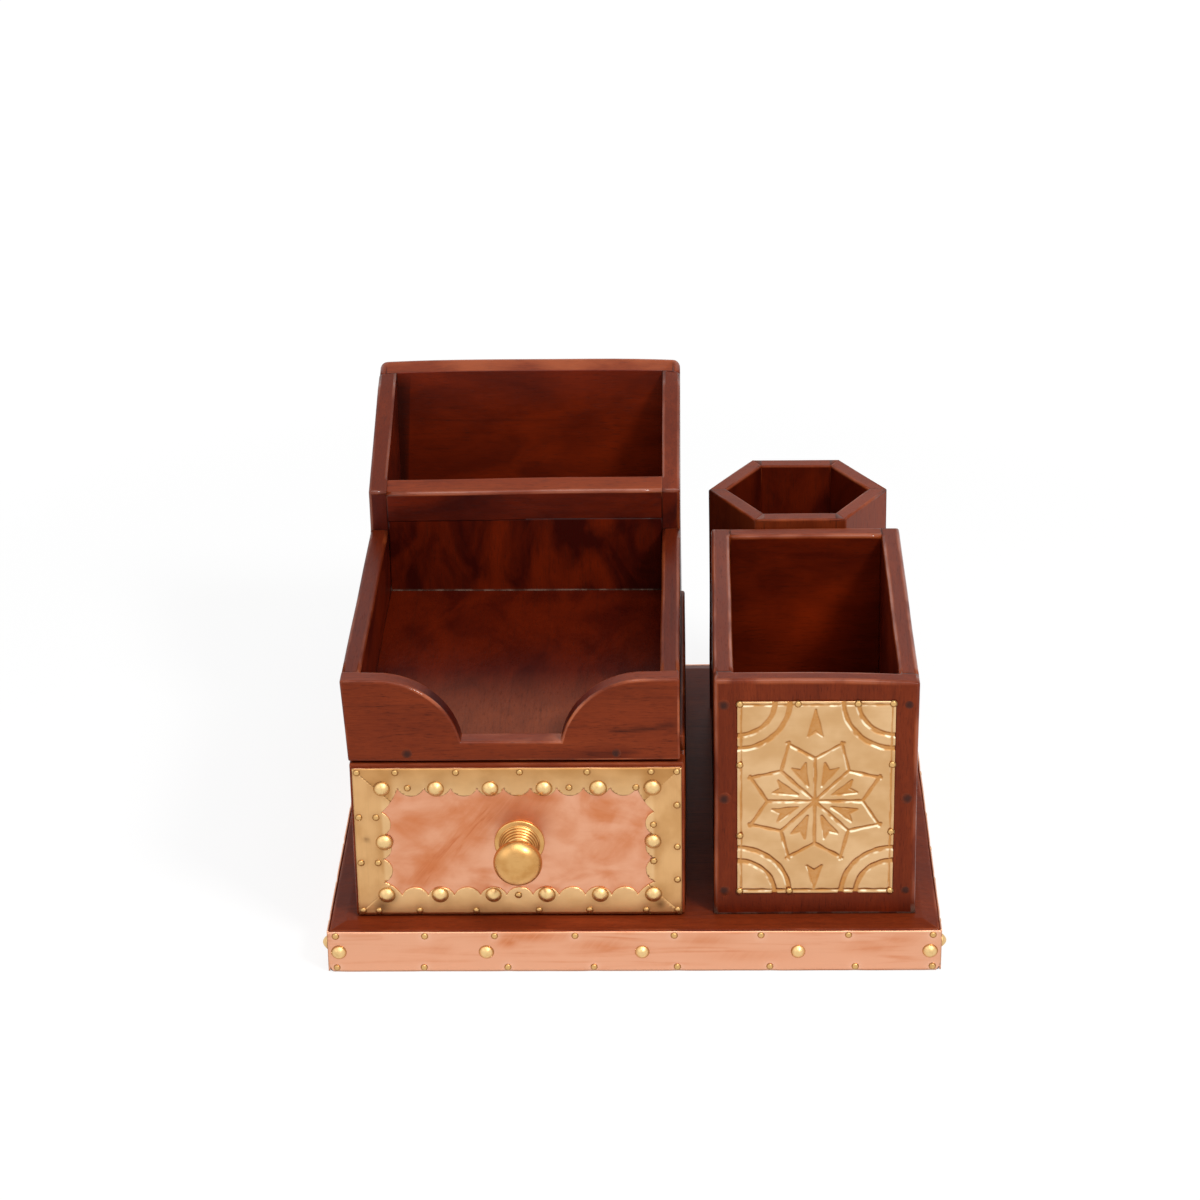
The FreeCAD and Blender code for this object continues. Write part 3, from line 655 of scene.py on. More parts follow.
def leaned(wood):
    """Draws in the foot of the tray's left end, which leans out towards its top."""
    for vert in wood.verts:
        height = (vert.co.z - tray_low.z) / (tray_high.z - tray_low.z)
        left = max(0, 1 - (vert.co.x - tray_low.x) / (5 * mm))
        vert.co.x += end_lean * (1 - height) * left
    return wood


front_board = leaned(hand_finished(scooped_front("tray_front"), "tray_front", ease=0.7 * mm, cell=3 * mm,
                                   margin=0.25 * mm, soaked_and_shaded=[to_back]))
ledge = tray_high.z - scoop_depth
worn_width = 0.9 * mm
scoop_middle = (tray_low.x + tray_high.x) / 2


def shoulder_stain(place):
    """Stain left on the sawn edges of the scoop's shoulders, between the worn arrises."""
    across = min(place.y - tray_low.y, tray_high.y - place.y) / worn_width
    steep = min((tray_high.z - place.z) / (7 * mm), (place.z - ledge) / (1.5 * mm))
    return min(1, across) * min(1, steep) * (abs(place.x - scoop_middle) < 38 * mm)


dark_flaws = [
    ((-5.5, 84.7), (9.0, 85.8), 0.6, 0.9),
    ((9.0, 86.4), (13.5, 87.0), 1.1, 0.7),
    ((-15.5, 76.6), (2.0, 77.3), 0.8, 0.5),
]
flaw_levels = (76.2, 77.0, 77.8, 84.0, 84.8, 85.5, 86.2, 87.0, 87.8)


def smeared(place, strokes):
    """How strongly an upright face is smeared at a place, along a few strokes with ragged edges."""
    strengths = []
    for start, end, width, strength in strokes:
        first, run = Vector(start), Vector(end) - Vector(start)
        away = Vector((place.x / mm, place.z / mm)) - first
        share = min(1, max(0, away.dot(run) / run.length_squared))
        ragged = 1 + 0.5 * noise.noise(place / (4 * mm))
        strengths.append(strength * math.exp(-(((away - run * share).length / (width * ragged)) ** 2)))
    return max(strengths)


for level in flaw_levels:
    divide(front_board, upward * level * mm, upward, hair)
mark(front_board, "joint", lambda place: (place.y < tray_low.y + 0.6 * mm) * smeared(place, dark_flaws))
for level in (tray_low.y + worn_width, tray_high.y - worn_width):
    divide(front_board, to_back * level, to_back, hair)
worn = front_board.verts.layers.float["edge"]
for vert in front_board.verts:
    if tray_low.y + 0.9 * worn_width < vert.co.y < tray_high.y - 0.9 * worn_width:
        vert[worn] = 0.0
mark(front_board, "soaked_and_shaded", shoulder_stain)

def ledge_wear(place):
    """Wear along the scoop's ledge, where fingers reach in."""
    return 0.65 * (place.y < -86 * mm) * (1.4 - abs(place.z - ledge) / (0.8 * mm))

mark(front_board, "edge", ledge_wear)
front_wood = stained_wood("tray_front_wood", "x", 5, dark=0.45, warm=0.3, wear=0.68, gloss=0.9)
piece("tray_front_wood", front_board, "organizer", front_wood, "stained_wood", "tray_front")
for number, (side, inside) in enumerate((("left", to_right), ("right", to_left))):
    node = f"tray_side_{side}"
    piece(f"{node}_wood", leaned(hand_finished(blank(node), node, ease=1.0 * mm, soaked_and_shaded=[inside])),
          "organizer", stained_wood(f"{node}_wood", "y", 6 + number, dark=1.0, depth=0.85, sheen=0.07),
          "stained_wood", node)

# Letter rack: two sides, a divider with a strip glued along its top, and a back board over the sides' ends.
# All tops are planed to one slope, and the back's ends are rounded over by years of handling.
rack_slope = 0.409
end_dip = 0.8 * mm
end_round = 2.6 * mm
rail_drop = 0.8 * mm


def sawn(wood, point, outward):
    """Cuts off what lies beyond a plane and closes the cut."""
    divide(wood, point, outward, drop=True)
    bmesh.ops.edgeloop_fill(wood, edges=[edge for edge in wood.edges if edge.is_boundary])
    return wood


def sloped(node):
    """A rack board, planed on top to the slope that rises to the back."""
    low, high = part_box(node)
    return sawn(blank(node), high, Vector((0, -rack_slope, 1)))


def round_topped(node):
    """The back board: an outline with two spun corners, extruded, and sheared to the slope at its top."""
    low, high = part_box(node)
    wood = bmesh.new()
    feet = [wood.verts.new((x, high.y, low.z)) for x in (low.x, high.x)]
    wood.edges.new(feet)
    ends = []
    for foot, inward in zip(feet, (1, -1)):
        start = wood.verts.new((foot.co.x, high.y, high.z - end_round))
        wood.edges.new((foot, start))
        centre = start.co + Vector((inward * end_round, 0, 0))
        arc = bmesh.ops.spin(wood, geom=[start], cent=centre, axis=(0, inward, 0), angle=math.pi / 2, steps=6)
        ends.append(arc["geom_last"][0])
    wood.edges.new(ends)
    for vert in thickened(wood):
        top = vert.co.z > low.z + touch
        vert.co += Vector((0, low.y - high.y, rack_slope * (low.y - high.y) * top))
    bmesh.ops.recalc_face_normals(wood, faces=wood.faces)
    return wood


def dipped(wood, low, high, corner):
    """Lets the ends of the rack's back fall a little, and rounds the sides' corners to meet them."""
    for vert in wood.verts:
        from_end = min(vert.co.x - low.x, high.x - vert.co.x)
        short = min(1, max(0, 1 - from_end / end_round))
        fall = corner * (1 - math.sqrt(1 - short ** 2))
        out = abs(2 * vert.co.x - low.x - high.x) / (high.x - low.x)
        near_top = max(0, (vert.co.z - high.z) / (20 * mm) + 1)
        near_back = max(0, 1 - max(0, low.y - vert.co.y) / (9 * mm))
        vert.co.z -= (fall + end_dip * out ** 4) * near_top * near_back


run_foot = Vector((-85.1, 86.8, 101.0)) * mm
run_across = Vector((39.0, 0, -2.2)).normalized()


def corner_shade_and_stain(place):
    """A dark strip down the inner left corner of the back board: partly painted shade in the corner, partly
    pooled stain.
    """
    beyond = (place - run_foot).dot(run_across)
    return (place.y < run_foot.y + 0.4 * mm) * (place.z < 141 * mm) * (0.3 * mm - beyond) / (0.5 * mm)


# The faces turned into the tray and rack, and the sides' front faces, are darkened with deep stain and painted
# shade.
rack_boards = {
    "rack_side_left": ("y", 1.0, 0.45, 0.0, [to_right, to_front]),
    "rack_side_right": ("y", 0.8, 0.45, 0.0, [to_left, to_front]),
    "rack_divider_rail": ("x", 0.3, 0.48, 0.4, [to_front, to_back]),
    "rack_back": ("x", 0.1, 0.88, 0.8, [to_front]),
}
for number, (node, (axis, dark, inner, bare, inside)) in enumerate(rack_boards.items()):
    board = round_topped(node) if node == "rack_back" else sloped(node)
    wood = hand_finished(board, node, soaked_and_shaded=inside)
    low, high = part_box(node)
    top = high.z - 3.4 * mm
    mark(wood, "edge", lambda place: bare * (place.z > top) * within(place, (low, high), -0.3 * mm))
    if node == "rack_back":
        for level in (0, 0.5 * mm):
            divide(wood, run_foot + to_right * level, run_across, hair)
        mark(wood, "joint", corner_shade_and_stain)
    if node != "rack_divider_rail":
        dipped(wood, *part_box("rack_back"), 0 if node == "rack_back" else 0.6 * end_round)
    else:
        for vert in wood.verts:
            vert.co.z -= rail_drop * max(0, (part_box(node)[1].x - vert.co.x) / (100 * mm))
    piece(f"{node}_wood", wood, "organizer",
          stained_wood(f"{node}_wood", axis, 8 + number, dark, depth=0.7, inner=inner, wear=0.2 + 0.45 * bare,
                       gloss=0.8, sheen=0.2),
          "stained_wood", node)
divider_wood = stained_wood("rack_divider_wood", "z", 13, inner=0.39, patchy=1.1, rough=0.3)
divider = hand_finished(blank("rack_divider"), "rack_divider", sway=0.12 * mm, margin=0.8 * mm,
                        soaked_and_shaded=[to_front, to_back])
floor_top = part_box("tray_floor")[1]
mark(divider, "dust", lambda place: abs(place.z - floor_top.z) < 0.3 * mm and place.y < floor_top.y + 0.5 * mm)
piece("rack_divider_wood", divider, "organizer", divider_wood, "stained_wood", "rack_divider")

# Pen box: a front board bedded for the brass panel, two sides behind it and a back between the sides.
# The box has settled towards its front right corner, which stands a little low.
corner_drop = 1.3 * mm
bed_depth = 0.5 * mm


def bedded_front(node, panel):
    """The front board with a shallow bed cut for the panel."""
    low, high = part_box(panel)
    wood = blank(node)
    for point, across in ((low, (1, 0, 0)), (high, (1, 0, 0)), (low, (0, 0, 1)), (high, (0, 0, 1))):
        divide(wood, point, across)
    middle = (low + high) / 2
    bed = min(wood.faces, key=lambda face: (face.calc_center_median() - middle).length)
    bmesh.ops.inset_region(wood, faces=[bed], thickness=0.01 * mm, depth=-bed_depth)
    rails = [edge for edge in wood.edges if edge.calc_face_angle(0) < 0.01]
    bmesh.ops.dissolve_edges(wood, edges=[edge for edge in rails if edge.calc_length() > 0.1 * mm],
                             use_verts=False)
    return wood


pen_low, pen_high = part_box("pen_box_front")
pen_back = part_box("pen_box_back")[1].y
pen_light_pool = Vector((62 * mm, 24 * mm, 68 * mm))


def settled(wood):
    """Lowers the top towards the box's front right corner."""
    for vert in wood.verts:
        near_top = min(1, max(0, (vert.co.z - pen_high.z) / (7 * mm) + 1))
        right = (vert.co.x - pen_low.x) / (pen_high.x - pen_low.x)
        front = (pen_back - vert.co.y) / (pen_back - pen_low.y)
        vert.co.z -= corner_drop * near_top * max(0, right) ** 3 * max(0, front)
    return wood


pen_boards = {
    "pen_box_front": ("z", 0.75, to_back, bedded_front("pen_box_front", "pen_box_panel")),
    "pen_box_side_left": ("y", 0.75, to_right, blank("pen_box_side_left")),
    "pen_box_side_right": ("y", 0.75, to_left, blank("pen_box_side_right")),
    "pen_box_back": ("x", 0.3, to_front, blank("pen_box_back")),
}
for number, (node, (axis, dark, inside, wood)) in enumerate(pen_boards.items()):
    wood = settled(hand_finished(wood, node, ease=1.0 * mm, cell=4 * mm, margin=0.8 * mm, soaked_and_shaded=[inside]))
    if node == "pen_box_front":
        # The front grows darker towards its foot.
        mark(wood, "soaked_and_shaded", lambda place: 0.7 * (24.5 * mm - place.z) / (6 * mm) * (place.y < -91 * mm))
        mark(wood, "dust", lambda place: (place.z < 16.85 * mm) * (place.y < -91 * mm))
    if node == "pen_box_back":
        # A painted pool of orange-red light in the middle of the back's inner face.
        mark(wood, "rubbed", lambda place: math.exp(-(((place - pen_light_pool).length / (16 * mm)) ** 2)))
    piece(f"{node}_wood", wood, "organizer",
          stained_wood(f"{node}_wood", axis, 15 + number, dark, inner=0.62, wear=0.45, gloss=0.7),
          "stained_wood", node)

# Panel of the pen box: one piece of brass sheet let into the front, with grooves pressed into it by hand.
# They draw an eight-petalled star with a dart in each petal, two arcs in each corner and a border line.
panel_cell = 0.27 * mm
star_middle = (25.3, 36.3)
spoke_length = 15.6
petal_tip = 22.6
corner_radii = (12.2, 17.0)
groove_half = 0.95
groove_depth = 0.45 * mm
border_inset = 1.2
overshoot = 1.06
dart_depth = 0.55
panel_low, panel_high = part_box("pen_box_panel")
panel_wide = (panel_high.x - panel_low.x) / mm
panel_tall = (panel_high.z - panel_low.z) / mm


def spoke(angle, length, aside=0.0):
    """A point at an angle and a distance from the star's middle, in panel millimetres."""
    turn = math.radians(angle)
    across = star_middle[0] + length * math.cos(turn) - aside * math.sin(turn)
    down = star_middle[1] + length * math.sin(turn) + aside * math.cos(turn)
    return across, down


def dart(apex, barb_one, notch, barb_two):
    """The four strokes of one dart."""
    return [(apex, barb_one), (barb_one, notch), (notch, barb_two), (barb_two, apex)]


strokes = []
thin_strokes = []
for petal in range(8):
    angle = 45 * petal
    strokes.append((spoke(angle, 0), spoke(angle, spoke_length)))
    tip = spoke(angle + 22.5, petal_tip)
    for valley in (spoke(angle, spoke_length), spoke(angle + 45, spoke_length)):
        past_tip = [start + overshoot * (end - start) for start, end in zip(valley, tip)]
        strokes.append((valley, past_tip))
    aim = angle + 22.5
    thin_strokes += dart(spoke(aim, 6), spoke(aim, 14, 2.4), spoke(aim, 12), spoke(aim, 14, -2.4))
for apex, barb, notch in ((3.05, 12.6, 10.7), (68.8, 60.4, 62.2)):
    middle = star_middle[0]
    thin_strokes += dart((middle, apex), (middle - 2.4, barb), (middle, notch), (middle + 2.4, barb))


def stroke_distance(across, down, start, end):
    """How far each point of the panel lies from a straight stroke."""
    run = (end[0] - start[0], end[1] - start[1])
    share = ((across - start[0]) * run[0] + (down - start[1]) * run[1]) / (run[0] ** 2 + run[1] ** 2)
    share = np.clip(share, 0, 1)
    return np.hypot(across - start[0] - share * run[0], down - start[1] - share * run[1])


def in_triangle(across, down, corners):
    """1 for the points of the panel inside a triangle, and 0 for the others."""
    turns = []
    for start, end in zip(corners, corners[1:] + corners[:1]):
        turns.append((end[0] - start[0]) * (down - start[1]) - (end[1] - start[1]) * (across - start[0]))
    return (np.min(turns, axis=0) > 0) | (np.max(turns, axis=0) < 0)


def groove_shape(across, down):
    """How deep the grooves are at each point of the panel, from 0 to 1."""
    wobble = 0.12 * np.sin(0.9 * across + 0.7 * down) + 0.1 * np.sin(0.5 * down - 1.3 * across)
    wide = np.min([stroke_distance(across, down, *stroke) for stroke in strokes], axis=0)
    thin = np.min([stroke_distance(across, down, *stroke) for stroke in thin_strokes], axis=0) + 0.18
    arcs = []
    for corner_x in (0, panel_wide):
        for corner_y in (0, panel_tall):
            from_corner = np.hypot(across - corner_x, down - corner_y)
            arcs += [np.abs(from_corner - radius) - 0.3 for radius in corner_radii]
    line = np.min([across, panel_wide - across, down, panel_tall - down], axis=0)
    border = np.abs(line - border_inset) + 0.25
    nearest = np.min([wide, thin, border, *arcs], axis=0) + wobble * 0.6
    share = np.clip(1 - nearest / groove_half, 0, 1)
    depth = share * share * (3 - 2 * share)
    for number in range(0, len(thin_strokes), 4):
        apex, barb_one, notch, barb_two = [stroke[0] for stroke in thin_strokes[number:number + 4]]
        for corners in ([apex, barb_one, notch], [apex, notch, barb_two]):
            depth = np.maximum(depth, dart_depth * in_triangle(across, down, corners))
    return depth


panel, panel_outward = sheet_face("pen_box_panel", 0, panel_cell)
groove = panel.verts.layers.float.new("groove")
# The groove depth, and the groove walls facing down and up, which take painted shade and painted glints.
upper = panel.verts.layers.float.new("upper")
lower = panel.verts.layers.float.new("lower")
points = np.array([vert.co for vert in panel.verts]) / mm
across, down = points[:, 0] - panel_low.x / mm, panel_high.z / mm - points[:, 2]
depths = groove_shape(across, down)
facing_up = groove_shape(across + 0.1, down - 0.25) - groove_shape(across - 0.1, down + 0.25)
for vert, depth, rise in zip(panel.verts, depths, facing_up):
    vert[groove] = depth
    vert[upper] = max(0, -rise)
    vert[lower] = max(0, rise)
    sway = 0.12 * mm * noise.noise(vert.co / (11 * mm))
    vert.co.y += groove_depth * depth + sway


def panel_brass(name):
    """Pale brushed brass with patina in its grooves, painted shade on the grooves' upper walls and painted
    glints on their lower walls.
    """
    material, surface, grain = finish(name, "x")
    cut = marked(grain, "groove")
    brushed = streaks(grain, 20, 0.2, 2)
    cloud = streaks(grain, 16, 12, 3)
    fleck = streaks(grain, 1.2, 0.8, 3)
    painted_glint = streaks(grain, 6, 5, 2).step(0.44, 0.58)
    colour = cloud.step(0.35, 0.65).mix(shade(226, 186, 138), shade(210, 166, 115))
    colour = ((1 - brushed).step(0.5, 0.8) * 0.15).mix(colour, shade(190, 140, 84))
    colour = (cut.step(0.03, 0.7) * (0.45 + 0.5 * fleck)).mix(colour, shade(192, 124, 52))
    # Painted shade on the grooves' upper walls, and painted glints on the lower walls.
    colour = (marked(grain, "upper").step(0.05, 0.7) * (0.3 + 0.6 * fleck)).mix(colour, shade(142, 84, 30))
    colour = (marked(grain, "lower").step(0.15, 0.6) * painted_glint).mix(colour, shade(255, 238, 200))
    sockets = {
        "Base Color": colour,
        "Metallic": 1.0,
        "Roughness": brushed * 0.14 + cloud * 0.1 + 0.3 - cut * 0.12,
        "Normal": bumped(grain, brushed * 0.5 + cloud * 2.0, 0.25, 0.08 * mm),
    }
    grain.feed(surface, sockets)
    return material


piece("pen_box_panel_brass", backed(panel, panel_outward, 0.5 * mm), "organizer",
      panel_brass("panel_brass"), "old_brass", "pen_box_panel")
piece("pen_box_panel_pins_brass", nail_heads(nail_places("pen_box_panel_pins"), pin_radius, pin_rise, 2, 9),
      "organizer", pin_brass, "old_brass", "pen_box_panel_pins")

# Cup: six staves of the same wood, mitred and glued edge to edge into a six-sided tube on the base.
# Their joints show as dark lines, and the rim is eased by hand.
# Each stave's darkness follows the light: the front left is painted darker as shade, the front right paler as
# lit.
stave_shading = {"back_right": 0.4, "back": 0.4, "back_left": 0.4,
          "front_left": 0.6, "front": 0.4, "front_right": 0.1}
first_stave_turn = 30
cup_corners = [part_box(f"cup_wall_{stave}") for stave in stave_shading]
cup_low = Vector([min(low[axis] for low, _ in cup_corners) for axis in range(3)])
cup_high = Vector([max(high[axis] for _, high in cup_corners) for axis in range(3)])
cup_middle = (cup_low + cup_high) / 2
cup_half = (cup_high.y - cup_low.y) / 2
cup_wall = 5.76 * mm
for number, (stave, dark) in enumerate(stave_shading.items()):
    node = f"cup_wall_{stave}"
    wood = bmesh.new()
    bmesh.ops.create_cube(wood, size=1)
    bmesh.ops.scale(wood, vec=(cup_wall, 2 * cup_half, cup_high.z - cup_low.z), verts=wood.verts)
    bmesh.ops.translate(wood, vec=(cup_half - cup_wall / 2, 0, 0), verts=wood.verts)
    for sign in (-1, 1):
        mitre = Vector((-math.sin(math.pi / 6), sign * math.cos(math.pi / 6), 0))
        sawn(wood, Vector((0, 0, 0)), mitre)
    turn = Matrix.Rotation(math.radians(first_stave_turn + 60 * number), 4, "Z")
    bmesh.ops.transform(wood, matrix=Matrix.Translation(cup_middle) @ turn, verts=wood.verts)
    inward = turn @ to_left
    piece(f"{node}_wood", hand_finished(wood, node, ease=0.6 * mm, soaked_and_shaded=[inward]), "organizer",
          stained_wood(f"{node}_wood", "z", 21 + number, dark, inner=0.5), "stained_wood", node)

# Brads: wire nails through the tray's front and the pen box's front, set below the surface.
# Each is filled over with dark putty that has spread a little round its hole.
putty_radius = 2.7 * mm
putty_rise = 0.3 * mm


def dark_putty(name):
    """Dull brown filler that fades into the stained wood round it."""
    material, surface, grain = finish(name, "x")
    crumb = streaks(grain, 0.9, 0.9, 3)
    fade = (marked(grain, "rim") + crumb * 0.4).step(0.35, 1.15)
    sockets = {
        "Base Color": fade.mix(shade(62, 30, 22), shade(118, 48, 22)),
        "Roughness": crumb * 0.2 + 0.4,
        "Specular IOR Level": 0.13,
        "Normal": bumped(grain, crumb, 0.3, 0.1 * mm),
    }
    grain.feed(surface, sockets)
    return material


fillings = [(tip + outward * putty_rise, outward) for tip, outward in nail_places("assembly_brads")]
piece("assembly_brads_putty", nail_heads(fillings, putty_radius, 2 * putty_rise, 4, 16), "organizer",
      dark_putty("brad_putty"), "steel", "assembly_brads")

# Drawer box: a front board, two sides, a back and a thin bottom, nailed together and left nearly plain.
# It slides between the case's sides with a little play, so its faces are truer than those of the case.
drawer_boards = {
    "drawer_front": ("x", 0.45),
    "drawer_side_left": ("y", 0.3),
    "drawer_side_right": ("y", 0.3),
    "drawer_back": ("x", 0.3),
    "drawer_bottom": ("x", 0.3),
}
for number, (node, (axis, dark)) in enumerate(drawer_boards.items()):
    wood = hand_finished(blank(node), node, ease=0.5 * mm, sway=0.08 * mm)
    piece(f"{node}_wood", wood, "drawer",
          stained_wood(f"{node}_wood", axis, 29 + number, dark), "stained_wood", node)

# Drawer facing: a copper sheet over the whole front and four scalloped strips of brass on it, mitred
# at the corners. Domed nails and pins hold the strips, which swell a little between them.
big_dome_radius = 2.95 * mm
border_cell = 0.9 * mm
border_spots = [(-87.7, 45.6, 0.9), (-83.5, 20.8, 2.2), (-80.5, 23.5, 1.6), (9.0, 21.0, 1.5)]
drawer_nails = nail_places("drawer_dome_nails")
drawer_pins = nail_places("drawer_pins")
tarnish_strokes = [
    ((-70.0, 31.9), (-48.2, 54.0), 5.5, 1.0),
    ((-48.8, 56.2), (-30.1, 60.5), 6.0, 0.8),
    ((-71.3, 51.1), (-56.9, 58.3), 6.0, 0.4),
    ((-12.0, 39.7), (-0.8, 45.4), 4.5, 0.5),
]


facing, facing_outward = sheet_face("drawer_copper_sheet", 0, 1.2 * mm)
facing.verts.layers.float.new("rubbed")
mark(facing, "rubbed", lambda place: smeared(place, tarnish_strokes))
pressed(facing, facing_outward, drawer_nails, drawer_pins, dent=0.05 * mm, swell=0.1 * mm, reach=3.0 * mm)
piece("drawer_copper_sheet_copper", backed(facing, facing_outward, 0.3 * mm), "drawer",
      copper("drawer_copper", "x", 1.3, 1.0, 20, 12, 0.55), "copper_sheet", "drawer_copper_sheet")


def border_brass(name, axis, bright, dull):
    """Golden brushed brass, browned round its nails by old polish and painted shade of the dents, with a
    painted highlight along its cut edge.
    """
    material, surface, grain = finish(name, axis)
    brushed = streaks(grain, 24, 0.25, 2)
    cloud = streaks(grain, 12, 8, 3)
    halo = marked(grain, "halo")
    rim = marked(grain, "rim")
    spot = marked(grain, "spot")
    colour = cloud.step(0.35, 0.68).mix(bright, dull)
    colour = ((1 - brushed).step(0.5, 0.8) * 0.14).mix(colour, shade(160, 112, 64))
    # Brown round the nails: old polish, and painted shade in the dents.
    colour = (halo * (0.2 + 0.5 * cloud) + marked(grain, "ring") * 0.35).mix(colour, shade(150, 100, 52))
    # A painted highlight along the scalloped cut edge.
    colour = (rim * 0.5).mix(colour, shade(240, 202, 150))
    colour = (spot * (0.3 + 0.8 * cloud)).mix(colour, shade(84, 46, 22))
    sockets = {
        "Base Color": colour,
        "Metallic": 1.0,
        "Roughness": brushed * 0.12 + cloud * 0.12 + halo * 0.08 + 0.3,
        "Normal": bumped(grain, brushed * 0.4 + cloud * 2.0, 0.25, 0.08 * mm),
    }
    grain.feed(surface, sockets)
    return material


# The top strip is a darker copy of the brass: painted shade and the reflection of the wood above it.
clean_border = (shade(221, 174, 119), shade(204, 155, 100))
shaded_top_border = (shade(204, 153, 97), shade(186, 135, 80))
border_tones = {"top": shaded_top_border, "bottom": clean_border, "left": clean_border, "right": clean_border}
plate_low, plate_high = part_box("drawer_copper_sheet")
for edge_name, axis in {"top": "x", "bottom": "x", "left": "z", "right": "z"}.items():
    node = f"drawer_border_{edge_name}"
    strip = bmesh.new()
    strip.from_mesh(frame["nodes"][node].data)
    bmesh.ops.remove_doubles(strip, verts=strip.verts, dist=0.001 * mm)
    hidden = [face for face in strip.faces if face.normal.y > -0.99]
    bmesh.ops.delete(strip, geom=hidden, context="FACES")
    bmesh.ops.dissolve_faces(strip, faces=strip.faces[:], use_verts=False)
    rim = strip.verts.layers.float.new("rim")
    bmesh.ops.inset_region(strip, faces=strip.faces[:], thickness=0.3 * mm, use_even_offset=True)
    for vert in strip.verts:
        from_side = min(vert.co.x - plate_low.x, plate_high.x - vert.co.x)
        from_row = min(vert.co.z - plate_low.z, plate_high.z - vert.co.z)
        inner = min(from_side, from_row) > 1 * mm and abs(from_side - from_row) > 0.2 * mm
        vert[rim] = float(vert.is_boundary and inner)
    cells(strip, border_cell)
    strip.verts.layers.float.new("spot")
    for spot_x, spot_z, spot_size in border_spots:
        spot = Vector((spot_x * mm, plate_low.y, spot_z * mm))
        mark(strip, "spot", lambda place: math.exp(-(((place - spot).length / (spot_size * mm)) ** 2)))
    pressed(strip, to_front, drawer_nails, drawer_pins, dent=0.08 * mm, swell=0.14 * mm, reach=2.2 * mm)
    piece(f"{node}_brass", backed(strip, to_front, 0.25 * mm), "drawer",
          border_brass(f"{node}_brass", axis, *border_tones[edge_name]), "old_brass", node)
piece("drawer_dome_nails_brass", nail_heads(drawer_nails, big_dome_radius, dome_rise, 5, 20), "drawer",
      dome_brass, "old_brass", "drawer_dome_nails")
piece("drawer_pins_brass", nail_heads(drawer_pins, pin_radius, pin_rise, 2, 9), "drawer",
      pin_brass, "old_brass", "drawer_pins")

# Knob: turned from one bar of brass, with a stepped foot on the copper, a thin neck and a flat round head.
# A screw from inside the drawer pulls it against the front.
knob_low, knob_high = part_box("drawer_knob")
knob_axis = Vector(((knob_low.x + knob_high.x) / 2, knob_high.y, (knob_low.z + knob_high.z) / 2))
knob_length = (knob_high.y - knob_low.y) / mm
head_radius = 8.05
knob_sag = 0.6 * mm
head_front = 5.0
head_back = 2.3
head_angles = 16
foot_rings = 5
foot_profile = [(0.0, 0.0), (8.0, 0.0), (8.3, 0.35), (8.25, 0.8), (7.9, 1.0), (6.9, 1.1)]
ring_feet = []
for ring in range(foot_rings):
    radius, along = 6.7 - 0.5 * ring, 1.2 + 0.95 * ring
    ring_feet.append((radius - 0.45, along + 0.75))
    foot_profile += [(radius, along), (radius + 0.1, along + 0.3), (radius - 0.1, along + 0.55)]
    foot_profile.append(ring_feet[-1])
foot_profile += [(4.1, 6.2), (3.9, 6.8), (3.85, 7.8), (3.85, 9.2), (3.5, 9.5), (3.5, 9.8)]
foot_profile += [(4.3, 10.0), (4.65, 10.4), (4.65, 10.7), (4.3, 11.0), (4.1, 11.1)]
knob = bmesh.new()
groove = knob.verts.layers.float.new("groove")
profile = list(foot_profile)
for step in range(head_angles + 1):
    angle = math.radians(-50 + 140 * step / head_angles)
    bulge = head_front if angle > 0 else head_back
    profile.append((head_radius * math.cos(angle), knob_length - head_front + bulge * math.sin(angle)))
outline = [knob.verts.new(knob_axis + Vector((radius * mm, -along * mm, 0))) for radius, along in profile]
for vert, point in zip(outline, profile):
    vert[groove] = float(point in ring_feet)
edges = [knob.edges.new(pair) for pair in zip(outline, outline[1:])]
bmesh.ops.spin(knob, geom=outline + edges, cent=knob_axis, axis=(0, 1, 0), angle=math.tau, steps=72,
               use_merge=True)
for vert in knob.verts:
    vert.co.z -= knob_sag * (knob_high.y - vert.co.y) / (knob_high.y - knob_low.y)
bmesh.ops.remove_doubles(knob, verts=knob.verts, dist=0.01 * mm)
bmesh.ops.recalc_face_normals(knob, faces=knob.faces)


def turned_brass(name):
    """Yellow brass with the fine rings of turning."""
    material, surface, grain = finish(name, "x")
    cut = marked(grain, "groove")
    blot = streaks(grain, 5, 5, 3)
    scratch = streaks(grain, 3, 0.25, 2)
    colour = blot.step(0.4, 0.7).mix(shade(213, 163, 100), shade(196, 142, 80))
    colour = (cut * 0.8 + (1 - scratch).step(0.55, 0.8) * 0.12).mix(colour, shade(120, 72, 24))
    sockets = {
        "Base Color": colour,
        "Metallic": 1.0,
        "Roughness": blot * 0.12 + scratch * 0.08 + 0.24,
        "Normal": bumped(grain, scratch * 0.4 + blot, 0.2, 0.06 * mm),
    }
    grain.feed(surface, sockets)
    return material


piece("drawer_knob_brass", knob, "drawer", turned_brass("knob_brass"), "old_brass", "drawer_knob")

